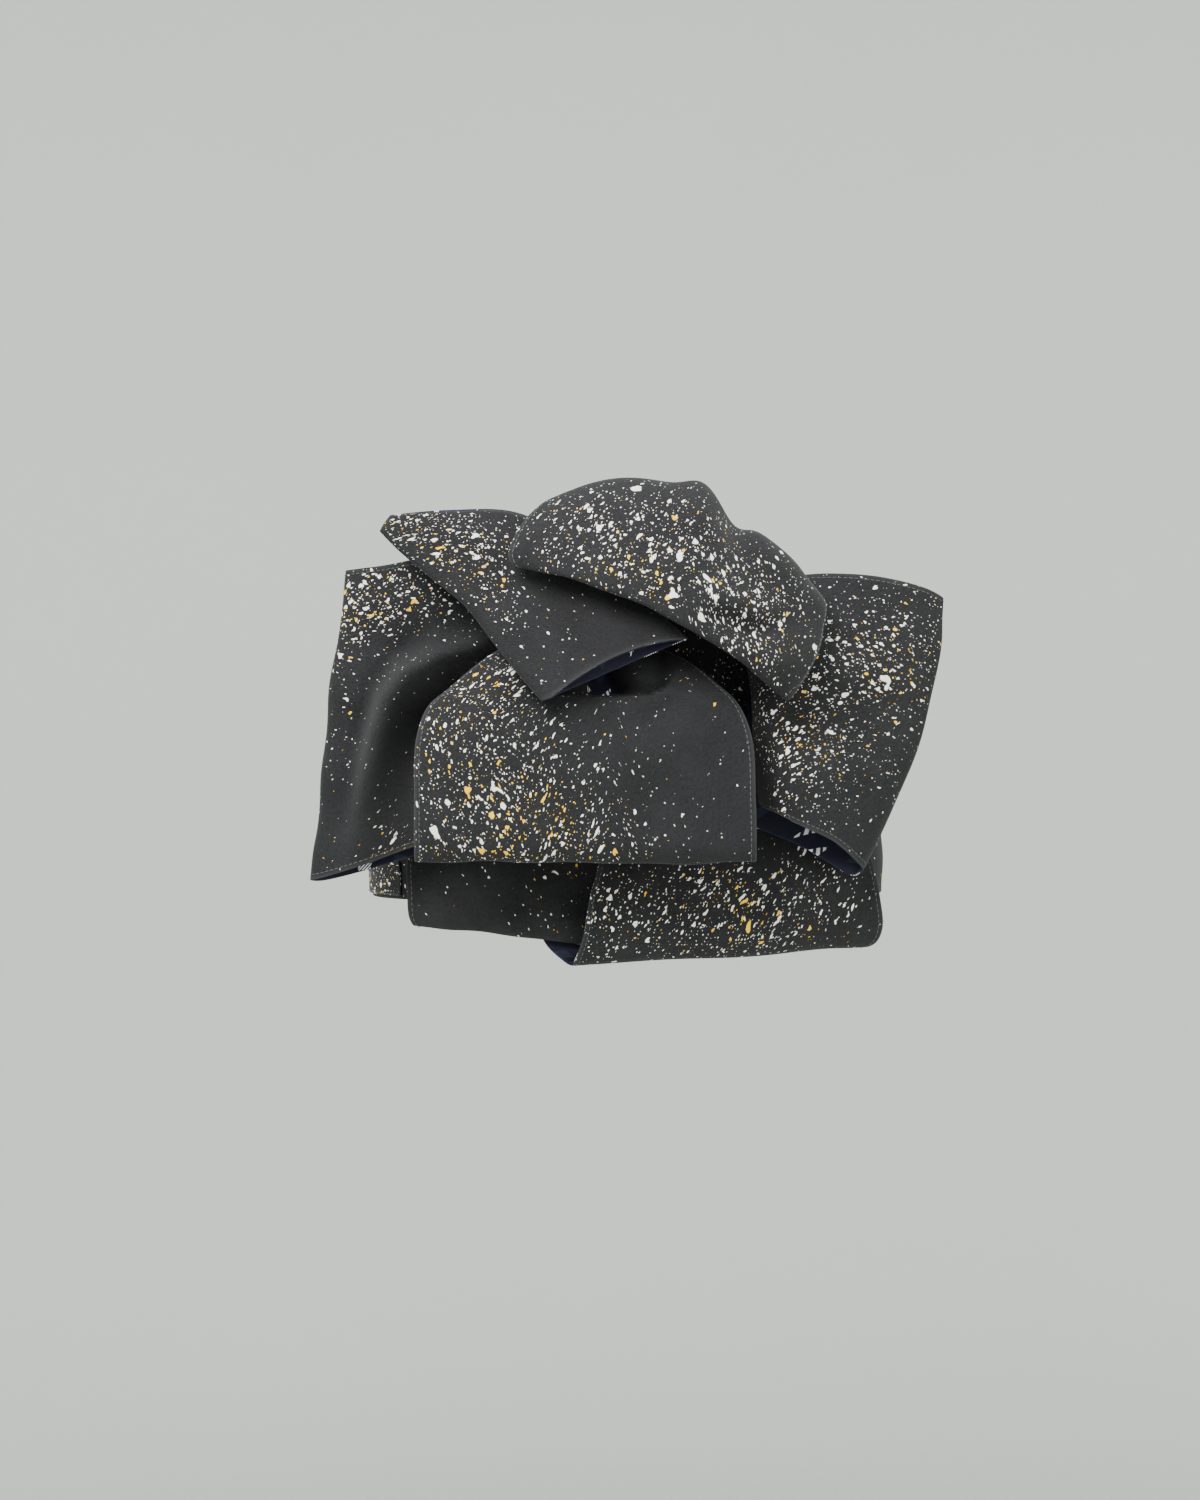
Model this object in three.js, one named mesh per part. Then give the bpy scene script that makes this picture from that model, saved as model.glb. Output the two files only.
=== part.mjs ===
// A wide cotton sash, wound twice round a waist and tied at the back in a loose bow.
// Frame: millimetres, +Z up, origin at the centre of the waist ring at mid height.
// The wearer faces +Y, so the knot stands out towards -Y.
import * as THREE from 'three';

// Driving dimensions
const SASH_WIDTH = 180;       // width of the band, edge to edge
const DOUBLE_CLOTH = 2.0;     // face cloth and lining lying on each other, as one wall
const SINGLE_CLOTH = 1.0;     // one layer, where face and lining are separate walls
const SEAM_GAP = 0.3;         // space kept between two walls that touch
const WAIST_HALF_WIDTH = 152.5;
const WAIST_HALF_DEPTH = 98;
const WAIST_SQUARENESS = 2.4; // exponent of the rounded-oval waist section
const WRAP_STEP = 10;         // degrees between the sections of the waist ring
const WRAP_SHIFT = 2;         // the over wrap sits this much higher than the under wrap
const OVER_WRAP = { from: -46.4, to: 213.6 }; // angles of its ends, hidden by the bow
const STEPS_PER_ROW = 2;      // cells made between two rows of a table

// Finishes
const faceCloth = { color: 0x2c2c30, roughness: 0.92, metalness: 0 };
const liningCloth = { color: 0x141c38, roughness: 0.85, metalness: 0 };

// Section tables. Each row is one section across the band: its two edges, and the bow
// that its middle makes away from the straight line between them.

// Left loop of the bow: out along the front, round the fold at the far left, back behind.
const WING_LEFT = [
  { top: [-26, -124, 82], bottom: [-32, -124, -22], bow: [0, -4, 0] },
  { top: [-62, -129, 98], bottom: [-70, -124, -44], bow: [0, 2, 0] },
  { top: [-108, -128, 102], bottom: [-117, -128, -57], bow: [0, 4, 0] },
  { top: [-137, -116, 98.5], bottom: [-144, -124, -67], bow: [0, -1, 0] },
  { top: [-153, -109, 97], bottom: [-170, -118, -75], bow: [-1, -3, 0] },
  { top: [-157.5, -104, 96.6], bottom: [-176.7, -112, -76.5], bow: [0, -2, 0] },
  { top: [-152, -99, 96], bottom: [-170, -107, -77], bow: [-1, 1, 0] },
  { top: [-112, -100, 98], bottom: [-128, -110, -66], bow: [0, 1, 0] },
  { top: [-62, -103, 94], bottom: [-74, -113, -48], bow: [0, 1, 0] },
  { top: [-26, -107, 78], bottom: [-34, -114, -26], bow: [0, 0, 0] },
];

// Rolled pleat that runs from the knot across the left loop and down to its open edge.
const WING_LEFT_RIDGE = [
  { x: -66, z: 60, height: 6 },
  { x: -86, z: 50, height: 16 },
  { x: -112, z: 43, height: 22 },
  { x: -131, z: 24, height: 23 },
  { x: -140, z: -8, height: 18 },
  { x: -146, z: -40, height: 11 },
  { x: -151, z: -68, height: 5 },
];
const RIDGE_WIDTH = 13;

// Right loop of the bow: the same, leaning, its back layer hanging a little lower.
const WING_RIGHT = [
  { top: [62, -119, 86], bottom: [73, -119, -34], bow: [0, -4, 0] },
  { top: [68, -128, 88], bottom: [75, -136, -36], bow: [0, -8, 0] },
  { top: [80, -127, 90], bottom: [82, -149, -39], bow: [0, -8, 0] },
  { top: [105, -120, 94], bottom: [96, -148, -46], bow: [1, -8, 0] },
  { top: [138, -115, 93], bottom: [113, -141, -54], bow: [5, -4, 0] },
  { top: [168, -106, 86.5], bottom: [127, -134, -66], bow: [9, -3, 0] },
  { top: [178, -99, 81.5], bottom: [130.5, -125, -70.5], bow: [10, 0, 0] },
  { top: [170, -95, 84], bottom: [126, -118, -74], bow: [9, 3, 0] },
  { top: [138, -96, 90], bottom: [111.5, -115, -66.5], bow: [4, 5, 0] },
  { top: [100, -99, 90], bottom: [98, -114, -58.5], bow: [0, 5, 0] },
  { top: [62, -103, 80], bottom: [72, -112, -47.5], bow: [0, 2, 0] },
];

// Flap that hangs over the knot: gathered at its top, rolled forward, folded up at the bottom.
const DRUM_FLAP = [
  { left: [-56, -132, 57], right: [12, -132, 56], bow: [0, -6, 0] },
  { left: [-67, -147, 53], right: [18, -145, 52], bow: [0, -10, 2] },
  { left: [-82, -152, 43], right: [34, -151, 44], bow: [0, -11, 2] },
  { left: [-98, -158, 29], right: [49, -157, 32], bow: [0, -10, 0] },
  { left: [-108, -163, 20], right: [60, -162, 21], bow: [0, -9, 0] },
  { left: [-114, -170, 2], right: [67, -170, 2], bow: [0, -6, 0] },
  { left: [-114.8, -172, -31], right: [68.7, -172, -31], bow: [0, -4, 0] },
  { left: [-114.9, -170, -58], right: [69.3, -170, -58], bow: [0, -4, 0] },
  { left: [-114.9, -164, -64.5], right: [69.3, -164, -64.5], bow: [0, -3, 0] },
  { left: [-114, -158, -58], right: [69, -158, -58], bow: [0, -2, 0] },
  { left: [-112, -155, -20], right: [67, -155, -20], bow: [0, 0, 0] },
  { left: [-102, -152, 10], right: [56, -152, 10], bow: [0, 0, 0] },
  { left: [-82, -146, 30], right: [36, -146, 30], bow: [0, 0, 0] },
  { left: [-60, -139, 45], right: [13, -139, 45], bow: [0, 0, 0] },
];

// Pocket behind the flap's upper lip.
const DRUM_TROUGH = [
  { x: -38, z: 33, height: -8 },
  { x: -12, z: 33, height: -13 },
  { x: 8, z: 32, height: -8 },
];
const TROUGH_WIDTH = 8;

// Band wrapped over the top of the knot: up from behind, over the crest, down the front,
// and turned under along its lower edge.
const KNOT_COVER = [
  { left: [-14, -101, 104], right: [54, -101, 98], bow: [0, 0, 6] },
  { left: [-26, -116, 122], right: [80, -114, 106], bow: [0, 0, 15] },
  { left: [-42, -146, 132.5], right: [107, -139, 80], bow: [0, -4, 32] },
  { left: [-54, -158, 123], right: [109, -147, 73], bow: [0, -15, 27] },
  { left: [-62, -166, 110], right: [107, -153, 62], bow: [0, -21, 17] },
  { left: [-64.6, -170, 100], right: [103, -160, 47], bow: [0, -25, 10] },
  { left: [-61, -171, 94.5], right: [86, -170, 22], bow: [0, -22, 12] },
  { left: [-54, -165, 97], right: [84, -163, 27], bow: [0, -21, 14] },
  { left: [-50, -160, 104], right: [86, -156, 40], bow: [0, -24, 14] },
];

// Free end, folded in half along its length: from its upper corner down to its hem.
// Its fold is the lower left edge; the open edges are hidden under the knot cover.
const HAND_END = [
  { open: [-130, -140, 124.5], fold: [-134.5, -141, 118], bow: [0, 0, 0], gap: 5, drop: 0 },
  { open: [-98, -143, 126.5], fold: [-123, -146, 107], bow: [0, -2, 0], gap: 6, drop: 0 },
  { open: [-62, -147, 125.5], fold: [-106, -152, 93], bow: [0, -3, 0], gap: 7, drop: 0 },
  { open: [-34, -153, 112], fold: [-85, -160, 76], bow: [0, -4, 0], gap: 8, drop: 0 },
  { open: [-10, -161, 94], fold: [-68, -170, 55], bow: [0, -5, 1], gap: 9, drop: 1 },
  { open: [12, -171, 75], fold: [-52, -181, 36], bow: [0, -5, 4], gap: 10, drop: 3 },
  { open: [32, -179, 55.5], fold: [-40.6, -188, 24.2], bow: [0, -4, 7], gap: 12, drop: 7 },
];

// Left tail: a shallow loop hanging below the knot.
const TAIL_LEFT = [
  { left: [-8, -111, -26], right: [28, -112, -26], bow: [0, 0, 0] },
  { left: [-82, -103, -32], right: [25, -113.5, -42], bow: [0, -2, 0] },
  { left: [-121, -98, -56], right: [20, -115, -60], bow: [0, -3, 0] },
  { left: [-123.6, -98, -86], right: [18, -116, -88], bow: [0, -4, 0] },
  { left: [-122.5, -97, -99], right: [14, -116, -109], bow: [0, -4, 0] },
  { left: [-119.8, -94, -103.4], right: [10, -111.5, -115], bow: [0, -4, 0] },
  { left: [-117, -91, -98], right: [10, -107.5, -109], bow: [0, -5, 0] },
  { left: [-115, -89, -60], right: [12, -107, -64], bow: [0, -6, 0] },
  { left: [-78, -95, -36], right: [16, -105, -40], bow: [0, -3, 0] },
  { left: [-8, -104, -26], right: [24, -104, -26], bow: [0, 0, 0] },
];

// Right tail: a wider loop round the left one, its back layer swung out to the left.
const TAIL_RIGHT = [
  { left: [-10, -118, -27], right: [46, -117, -27], bow: [0, 0, 0] },
  { left: [-13, -124, -46], right: [128, -95, -44], bow: [0, -2, 0] },
  { left: [-16, -128, -68], right: [138, -96, -66], bow: [0, -6, 0] },
  { left: [-21, -128, -87], right: [143, -96, -88], bow: [0, -7, 0] },
  { left: [-24, -127, -106], right: [144.5, -94, -104], bow: [0, -7, 0] },
  { left: [-28, -123, -119], right: [141, -90, -113], bow: [0, -6, 0] },
  { left: [-30.6, -116, -124], right: [135, -87, -115.5], bow: [0, -6, 0] },
  { left: [-37, -107, -121], right: [131, -83, -110], bow: [0, -7, 0] },
  { left: [-46, -101, -112], right: [128, -81, -97], bow: [0, -8, 0] },
  { left: [-56, -98, -84], right: [125, -81, -72], bow: [0, -9, 0] },
  { left: [-58, -97, -52], right: [118, -83, -48], bow: [0, -8, 0] },
  { left: [-14, -99, -28], right: [46, -99, -28], bow: [0, 0, 0] },
];

// The knot itself: level sections of the gathered cloth, from its foot to its top.
const KNOT_SECTIONS = [
  { z: -24, x: 18, y: -113, halfWidth: 20, halfDepth: 4 },
  { z: -14, x: 18, y: -113, halfWidth: 31, halfDepth: 7 },
  { z: 8, x: 18, y: -113, halfWidth: 36, halfDepth: 9 },
  { z: 34, x: 18, y: -114, halfWidth: 37, halfDepth: 10 },
  { z: 60, x: 18, y: -114, halfWidth: 36, halfDepth: 10 },
  { z: 80, x: 18, y: -114, halfWidth: 31, halfDepth: 8 },
  { z: 88, x: 18, y: -114, halfWidth: 22, halfDepth: 4 },
];
const KNOT_PLEATS = 7;
const KNOT_PLEAT_DEPTH = 0.07; // share of the section's size
const KNOT_SIDES = 28;

/** Smooth curve through one column of a table, read by the row's number. */
function column(rows, name) {
  const points = rows.map((row) => new THREE.Vector3(...row[name]));
  return new THREE.CatmullRomCurve3(points, false, 'centripetal');
}

/** Grid over a table: straight across from edge to edge, plus a parabola for the bow. */
function stripGrid(rows, first, second, across) {
  const edgeA = column(rows, first);
  const edgeB = column(rows, second);
  const bow = column(rows, 'bow');
  const steps = STEPS_PER_ROW * (rows.length - 1);
  const grid = [];
  for (let i = 0; i <= steps; i += 1) {
    const along = i / steps;
    const a = edgeA.getPoint(along);
    const b = edgeB.getPoint(along);
    const lift = bow.getPoint(along);
    const line = [];
    for (let j = 0; j <= across; j += 1) {
      const share = j / across;
      line.push(a.clone().lerp(b, share).addScaledVector(lift, 4 * share * (1 - share)));
    }
    grid.push(line);
  }
  return grid;
}

/** Grid over a strip folded along its length: open edge, fold, and back behind itself. */
function foldedGrid(rows, across) {
  const open = column(rows, 'open');
  const fold = column(rows, 'fold');
  const bow = column(rows, 'bow');
  const steps = STEPS_PER_ROW * (rows.length - 1);
  const grid = [];
  for (let i = 0; i <= steps; i += 1) {
    const along = i / steps;
    const a = open.getPoint(along);
    const b = fold.getPoint(along);
    const lift = bow.getPoint(along);
    const gap = interpolate(rows, 'gap', along);
    const drop = interpolate(rows, 'drop', along);
    const outward = b.clone().sub(a).setY(0).normalize();
    const line = [];
    for (let j = 0; j < across; j += 1) {
      const share = j / across;
      line.push(a.clone().lerp(b, share).addScaledVector(lift, 4 * share * (1 - share)));
    }
    for (const turn of [0, 0.5, 1]) {
      const point = b.clone().addScaledVector(outward, (gap / 2) * Math.sin(turn * Math.PI));
      point.y += (gap / 2) * (1 - Math.cos(turn * Math.PI));
      line.push(point);
    }
    for (let j = across - 1; j >= 0; j -= 1) {
      const share = j / across;
      const point = a.clone().lerp(b, share).addScaledVector(lift, 4 * share * (1 - share));
      point.y += gap;
      point.z -= drop * 4 * share * (1 - share);
      line.push(point);
    }
    grid.push(line);
  }
  return grid;
}

/** Straight interpolation of one number of a table, read by the row's number. */
function interpolate(rows, name, along) {
  const place = along * (rows.length - 1);
  const index = Math.min(rows.length - 2, Math.floor(place));
  return THREE.MathUtils.lerp(rows[index][name], rows[index + 1][name], place - index);
}

/** Pushes the front of a grid out, or in, beside a line of creases seen from behind. */
function crease(grid, line, width, frontShare) {
  const lastFront = Math.floor(frontShare * (grid.length - 1));
  grid.slice(0, lastFront + 1).forEach((points) => points.forEach((point) => {
    let height = 0;
    for (let k = 0; k < line.length - 1; k += 1) {
      const a = new THREE.Vector2(line[k].x, line[k].z);
      const b = new THREE.Vector2(line[k + 1].x, line[k + 1].z);
      const here = new THREE.Vector2(point.x, point.z);
      const run = b.clone().sub(a);
      const share = THREE.MathUtils.clamp(here.clone().sub(a).dot(run) / run.lengthSq(), 0, 1);
      const distance = here.distanceTo(a.clone().addScaledVector(run, share));
      const crest = THREE.MathUtils.lerp(line[k].height, line[k + 1].height, share);
      const push = crest * Math.exp(-((distance / width) ** 2));
      if (Math.abs(push) > Math.abs(height)) height = push;
    }
    point.y -= height;
  }));
  return grid;
}

/** Waist ring: rounded oval, from one angle to another, `inset` inside the driving size. */
function ringGrid(inset, low, high, from, to, up) {
  const power = 2 / WAIST_SQUARENESS;
  const around = Math.round((to - from) / WRAP_STEP);
  const grid = [];
  for (let i = 0; i <= around; i += 1) {
    const angle = THREE.MathUtils.degToRad(from + i * WRAP_STEP);
    const c = Math.cos(angle);
    const s = Math.sin(angle);
    const x = (WAIST_HALF_WIDTH - inset) * Math.sign(c) * Math.abs(c) ** power;
    const y = (WAIST_HALF_DEPTH - inset) * Math.sign(s) * Math.abs(s) ** power;
    const line = [];
    for (let j = 0; j <= up; j += 1) {
      line.push(new THREE.Vector3(x, y, THREE.MathUtils.lerp(high, low, j / up)));
    }
    grid.push(line);
  }
  return grid;
}

/** Unit normals of a grid, pointing to the cloth's outer side when side is 1. */
function gridNormals(grid, side, closed) {
  const last = grid.length - 1;
  return grid.map((line, i) => line.map((point, j) => {
    const before = closed && i === 0 ? grid[last - 1][j] : grid[Math.max(0, i - 1)][j];
    const after = closed && i === last ? grid[1][j] : grid[Math.min(last, i + 1)][j];
    const along = after.clone().sub(before);
    const over = line[Math.min(line.length - 1, j + 1)].clone().sub(line[Math.max(0, j - 1)]);
    return along.cross(over).normalize().multiplyScalar(side);
  }));
}

/** Closed wall of cloth between two depths under a grid. */
function wall(grid, side, near, far, closed = false) {
  const normals = gridNormals(grid, side, closed);
  const lines = closed ? grid.length - 1 : grid.length;
  const width = grid[0].length;
  const positions = [];
  for (const depth of [near, far]) {
    for (let i = 0; i < lines; i += 1) {
      for (let j = 0; j < width; j += 1) {
        positions.push(...grid[i][j].clone().addScaledVector(normals[i][j], -depth).toArray());
      }
    }
  }
  const at = (layer, i, j) => layer * lines * width + (i % lines) * width + j;
  const index = [];
  const quad = (a, b, c, d) => index.push(a, b, c, a, c, d);
  const cells = closed ? lines : lines - 1;
  for (let i = 0; i < cells; i += 1) {
    for (let j = 0; j < width - 1; j += 1) {
      quad(at(0, i, j), at(0, i + 1, j), at(0, i + 1, j + 1), at(0, i, j + 1));
      quad(at(1, i, j), at(1, i, j + 1), at(1, i + 1, j + 1), at(1, i + 1, j));
    }
    quad(at(0, i, 0), at(1, i, 0), at(1, i + 1, 0), at(0, i + 1, 0));
    const edge = width - 1;
    quad(at(0, i, edge), at(0, i + 1, edge), at(1, i + 1, edge), at(1, i, edge));
  }
  if (!closed) {
    const end = lines - 1;
    for (let j = 0; j < width - 1; j += 1) {
      quad(at(0, 0, j), at(0, 0, j + 1), at(1, 0, j + 1), at(1, 0, j));
      quad(at(0, end, j), at(1, end, j), at(1, end, j + 1), at(0, end, j + 1));
    }
  }
  if (side < 0) {
    for (let k = 0; k < index.length; k += 3) {
      [index[k + 1], index[k + 2]] = [index[k + 2], index[k + 1]];
    }
  }
  const geometry = new THREE.BufferGeometry();
  geometry.setAttribute('position', new THREE.Float32BufferAttribute(positions, 3));
  geometry.setIndex(index);
  return geometry;
}

/** Gathered lump of cloth: pleated oval sections stacked up, closed at both ends. */
function knotGeometry() {
  const positions = [];
  for (const section of KNOT_SECTIONS) {
    for (let k = 0; k < KNOT_SIDES; k += 1) {
      const angle = (2 * Math.PI * k) / KNOT_SIDES;
      const pleat = 1 - KNOT_PLEAT_DEPTH * (0.5 + 0.5 * Math.cos(KNOT_PLEATS * angle));
      positions.push(
        section.x + section.halfWidth * pleat * Math.cos(angle),
        section.y + section.halfDepth * pleat * Math.sin(angle),
        section.z,
      );
    }
  }
  const foot = positions.length / 3;
  const first = KNOT_SECTIONS[0];
  const last = KNOT_SECTIONS[KNOT_SECTIONS.length - 1];
  positions.push(first.x, first.y, first.z, last.x, last.y, last.z);
  const index = [];
  const levels = KNOT_SECTIONS.length;
  for (let k = 0; k < KNOT_SIDES; k += 1) {
    const next = (k + 1) % KNOT_SIDES;
    for (let level = 0; level < levels - 1; level += 1) {
      const low = level * KNOT_SIDES;
      const high = low + KNOT_SIDES;
      index.push(low + k, low + next, high + next, low + k, high + next, high + k);
    }
    const top = (levels - 1) * KNOT_SIDES;
    index.push(foot, next, k, foot + 1, top + k, top + next);
  }
  const geometry = new THREE.BufferGeometry();
  geometry.setAttribute('position', new THREE.Float32BufferAttribute(positions, 3));
  geometry.setIndex(index);
  return geometry;
}

const sash = new THREE.Group();
sash.name = 'obi_sash';

function add(name, geometry, finish) {
  geometry.computeVertexNormals();
  const mesh = new THREE.Mesh(geometry, new THREE.MeshStandardMaterial(finish));
  mesh.name = name;
  sash.add(mesh);
}

/** Face cloth wall, and under it a lining wall of the same form. */
function addLined(name, grid, side) {
  add(name, wall(grid, side, 0, SINGLE_CLOTH), faceCloth);
  const under = SINGLE_CLOTH + SEAM_GAP;
  add(`${name}_lining`, wall(grid, side, under, under + SINGLE_CLOTH), liningCloth);
}

// Waist: the under wrap goes all round, the over wrap from the left back to the right back
const half = SASH_WIDTH / 2;
const underInset = DOUBLE_CLOTH + SEAM_GAP;
const liningInset = underInset + SINGLE_CLOTH + SEAM_GAP;
const start = OVER_WRAP.from;
const underRing = ringGrid(underInset, -half, half - WRAP_SHIFT, start, start + 360, 3);
add('waist_wrap_under', wall(underRing, -1, 0, SINGLE_CLOTH, true), faceCloth);
const liningRing = ringGrid(liningInset, -half, half - WRAP_SHIFT, start, start + 360, 2);
add('waist_wrap_lining', wall(liningRing, -1, 0, SINGLE_CLOTH, true), liningCloth);
const overRing = ringGrid(0, WRAP_SHIFT - half, half, start, OVER_WRAP.to, 3);
add('waist_wrap_over', wall(overRing, -1, 0, DOUBLE_CLOTH), faceCloth);

// Tails, hanging against the waist below the knot
add('tail_left', wall(stripGrid(TAIL_LEFT, 'left', 'right', 7), 1, 0, DOUBLE_CLOTH), faceCloth);
addLined('tail_right', stripGrid(TAIL_RIGHT, 'left', 'right', 7), 1);

// Bow
const wingLeft = stripGrid(WING_LEFT, 'top', 'bottom', 9);
addLined('wing_left', crease(wingLeft, WING_LEFT_RIDGE, RIDGE_WIDTH, 0.45), 1);
addLined('wing_right', stripGrid(WING_RIGHT, 'top', 'bottom', 8), -1);

// Knot, from the inside out
add('knot_core', knotGeometry(), faceCloth);
const drumFlap = crease(stripGrid(DRUM_FLAP, 'left', 'right', 9), DRUM_TROUGH, TROUGH_WIDTH, 0.5);
add('drum_flap', wall(drumFlap, 1, 0, DOUBLE_CLOTH), faceCloth);
addLined('hand_end', foldedGrid(HAND_END, 4), -1);
const cover = stripGrid(KNOT_COVER, 'left', 'right', 9);
add('knot_cover', wall(cover, 1, 0, DOUBLE_CLOTH), faceCloth);

export default sash;
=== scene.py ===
import math

import bpy
import numpy as np
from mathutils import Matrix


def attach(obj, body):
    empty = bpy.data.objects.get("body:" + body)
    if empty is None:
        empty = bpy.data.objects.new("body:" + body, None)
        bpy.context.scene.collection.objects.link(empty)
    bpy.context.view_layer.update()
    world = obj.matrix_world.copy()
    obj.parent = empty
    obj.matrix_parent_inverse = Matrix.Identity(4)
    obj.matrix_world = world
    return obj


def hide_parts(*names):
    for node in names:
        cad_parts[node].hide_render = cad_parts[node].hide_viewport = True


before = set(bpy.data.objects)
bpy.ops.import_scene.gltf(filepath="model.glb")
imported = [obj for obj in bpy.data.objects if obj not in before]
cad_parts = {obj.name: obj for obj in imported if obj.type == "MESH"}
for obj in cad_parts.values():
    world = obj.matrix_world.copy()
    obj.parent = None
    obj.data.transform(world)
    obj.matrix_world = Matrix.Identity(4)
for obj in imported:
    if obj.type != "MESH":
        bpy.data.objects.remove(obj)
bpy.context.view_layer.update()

bl_info = {
    "name": "Tied Obi Sash",
    "version": (1, 0, 0),
    "blender": (4, 5, 0),
    "location": "3D View > Sidebar > Obi Sash",
    "description": "Builds a lined cotton sash wound round a waist and tied in a loose bow",
    "category": "Add Mesh",
}

MM = 0.001


def table(columns, *rows):
    """Table with named columns: each row holds one value for each."""
    return [dict(zip(columns.split(), row)) for row in rows]


# ---------------------------------------------------------------------------------------
# Section tables, in millimetres: one row for each section across the band, with its two
# edges and the bow that its middle makes away from the straight line between them.
# ---------------------------------------------------------------------------------------

WING_LEFT = table(
    "top bottom bow",
    ((-26, -124, 82), (-32, -124, -22), (0, -4, 0)),
    ((-62, -129, 98), (-70, -124, -44), (0, 2, 0)),
    ((-108, -128, 102), (-117, -128, -57), (0, 4, 0)),
    ((-137, -116, 98.5), (-144, -124, -67), (0, -1, 0)),
    ((-153, -109, 97), (-170, -118, -75), (-1, -3, 0)),
    ((-157.5, -104, 96.6), (-176.7, -112, -76.5), (0, -2, 0)),
    ((-152, -99, 96), (-170, -107, -77), (-1, 1, 0)),
    ((-112, -100, 98), (-128, -110, -66), (0, 1, 0)),
    ((-62, -103, 94), (-74, -113, -48), (0, 1, 0)),
    ((-26, -107, 78), (-34, -114, -26), (0, 0, 0)),
)

WING_RIGHT = table(
    "top bottom bow",
    ((62, -119, 86), (73, -119, -34), (0, -4, 0)),
    ((68, -128, 88), (75, -136, -36), (0, -8, 0)),
    ((80, -127, 90), (82, -149, -39), (0, -8, 0)),
    ((105, -120, 94), (96, -148, -46), (1, -8, 0)),
    ((138, -115, 93), (113, -141, -54), (5, -4, 0)),
    ((168, -106, 86.5), (127, -134, -66), (9, -3, 0)),
    ((178, -99, 81.5), (130.5, -125, -70.5), (10, 0, 0)),
    ((170, -95, 84), (126, -118, -74), (9, 3, 0)),
    ((138, -96, 90), (111.5, -115, -66.5), (4, 5, 0)),
    ((100, -99, 90), (98, -114, -58.5), (0, 5, 0)),
    ((62, -103, 80), (72, -112, -47.5), (0, 2, 0)),
)

DRUM_FLAP = table(
    "left right bow",
    ((-56, -132, 57), (12, -132, 56), (0, -6, 0)),
    ((-67, -147, 53), (18, -145, 52), (0, -10, 2)),
    ((-82, -152, 43), (34, -151, 44), (0, -11, 2)),
    ((-98, -158, 29), (49, -157, 32), (0, -10, 0)),
    ((-108, -163, 20), (60, -162, 21), (0, -9, 0)),
    ((-114, -170, 2), (67, -170, 2), (0, -6, 0)),
    ((-114.8, -172, -31), (68.7, -172, -31), (0, -4, 0)),
    ((-114.9, -170, -58), (69.3, -170, -58), (0, -4, 0)),
    ((-114.9, -164, -64.5), (69.3, -164, -64.5), (0, -3, 0)),
    ((-114, -158, -58), (69, -158, -58), (0, -2, 0)),
    ((-112, -155, -20), (67, -155, -20), (0, 0, 0)),
    ((-102, -152, 10), (56, -152, 10), (0, 0, 0)),
    ((-82, -146, 30), (36, -146, 30), (0, 0, 0)),
    ((-60, -139, 45), (13, -139, 45), (0, 0, 0)),
)

KNOT_COVER = table(
    "left right bow",
    ((-14, -101, 104), (54, -101, 98), (0, 0, 6)),
    ((-26, -116, 122), (80, -114, 106), (0, 0, 15)),
    ((-42, -146, 132.5), (107, -139, 80), (0, -4, 32)),
    ((-54, -158, 123), (109, -147, 73), (0, -15, 27)),
    ((-62, -166, 110), (107, -153, 62), (0, -21, 17)),
    ((-64.6, -170, 100), (103, -160, 47), (0, -25, 10)),
    ((-61, -171, 94.5), (86, -170, 22), (0, -22, 12)),
    ((-54, -165, 97), (84, -163, 27), (0, -21, 14)),
    ((-50, -160, 104), (86, -156, 40), (0, -24, 14)),
)

HAND_END = table(
    "open fold bow gap drop",
    ((-130, -140, 124.5), (-134.5, -141, 118), (0, 0, 0), 5, 0),
    ((-98, -143, 126.5), (-123, -146, 107), (0, -2, 0), 6, 0),
    ((-62, -147, 125.5), (-106, -152, 93), (0, -3, 0), 7, 0),
    ((-34, -153, 112), (-85, -160, 76), (0, -4, 0), 8, 0),
    ((-10, -161, 94), (-68, -170, 55), (0, -5, 1), 9, 1),
    ((12, -171, 75), (-52, -181, 36), (0, -5, 4), 10, 3),
    ((32, -179, 55.5), (-40.6, -188, 24.2), (0, -4, 7), 12, 7),
)

TAIL_LEFT = table(
    "left right bow",
    ((-8, -111, -26), (28, -112, -26), (0, 0, 0)),
    ((-82, -103, -32), (25, -113.5, -42), (0, -2, 0)),
    ((-121, -98, -56), (20, -115, -60), (0, -3, 0)),
    ((-123.6, -98, -86), (18, -116, -88), (0, -4, 0)),
    ((-122.5, -97, -99), (14, -116, -109), (0, -4, 0)),
    ((-119.8, -94, -103.4), (10, -111.5, -115), (0, -4, 0)),
    ((-117, -91, -98), (10, -107.5, -109), (0, -5, 0)),
    ((-115, -89, -60), (12, -107, -64), (0, -6, 0)),
    ((-78, -95, -36), (16, -105, -40), (0, -3, 0)),
    ((-8, -104, -26), (24, -104, -26), (0, 0, 0)),
)

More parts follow.
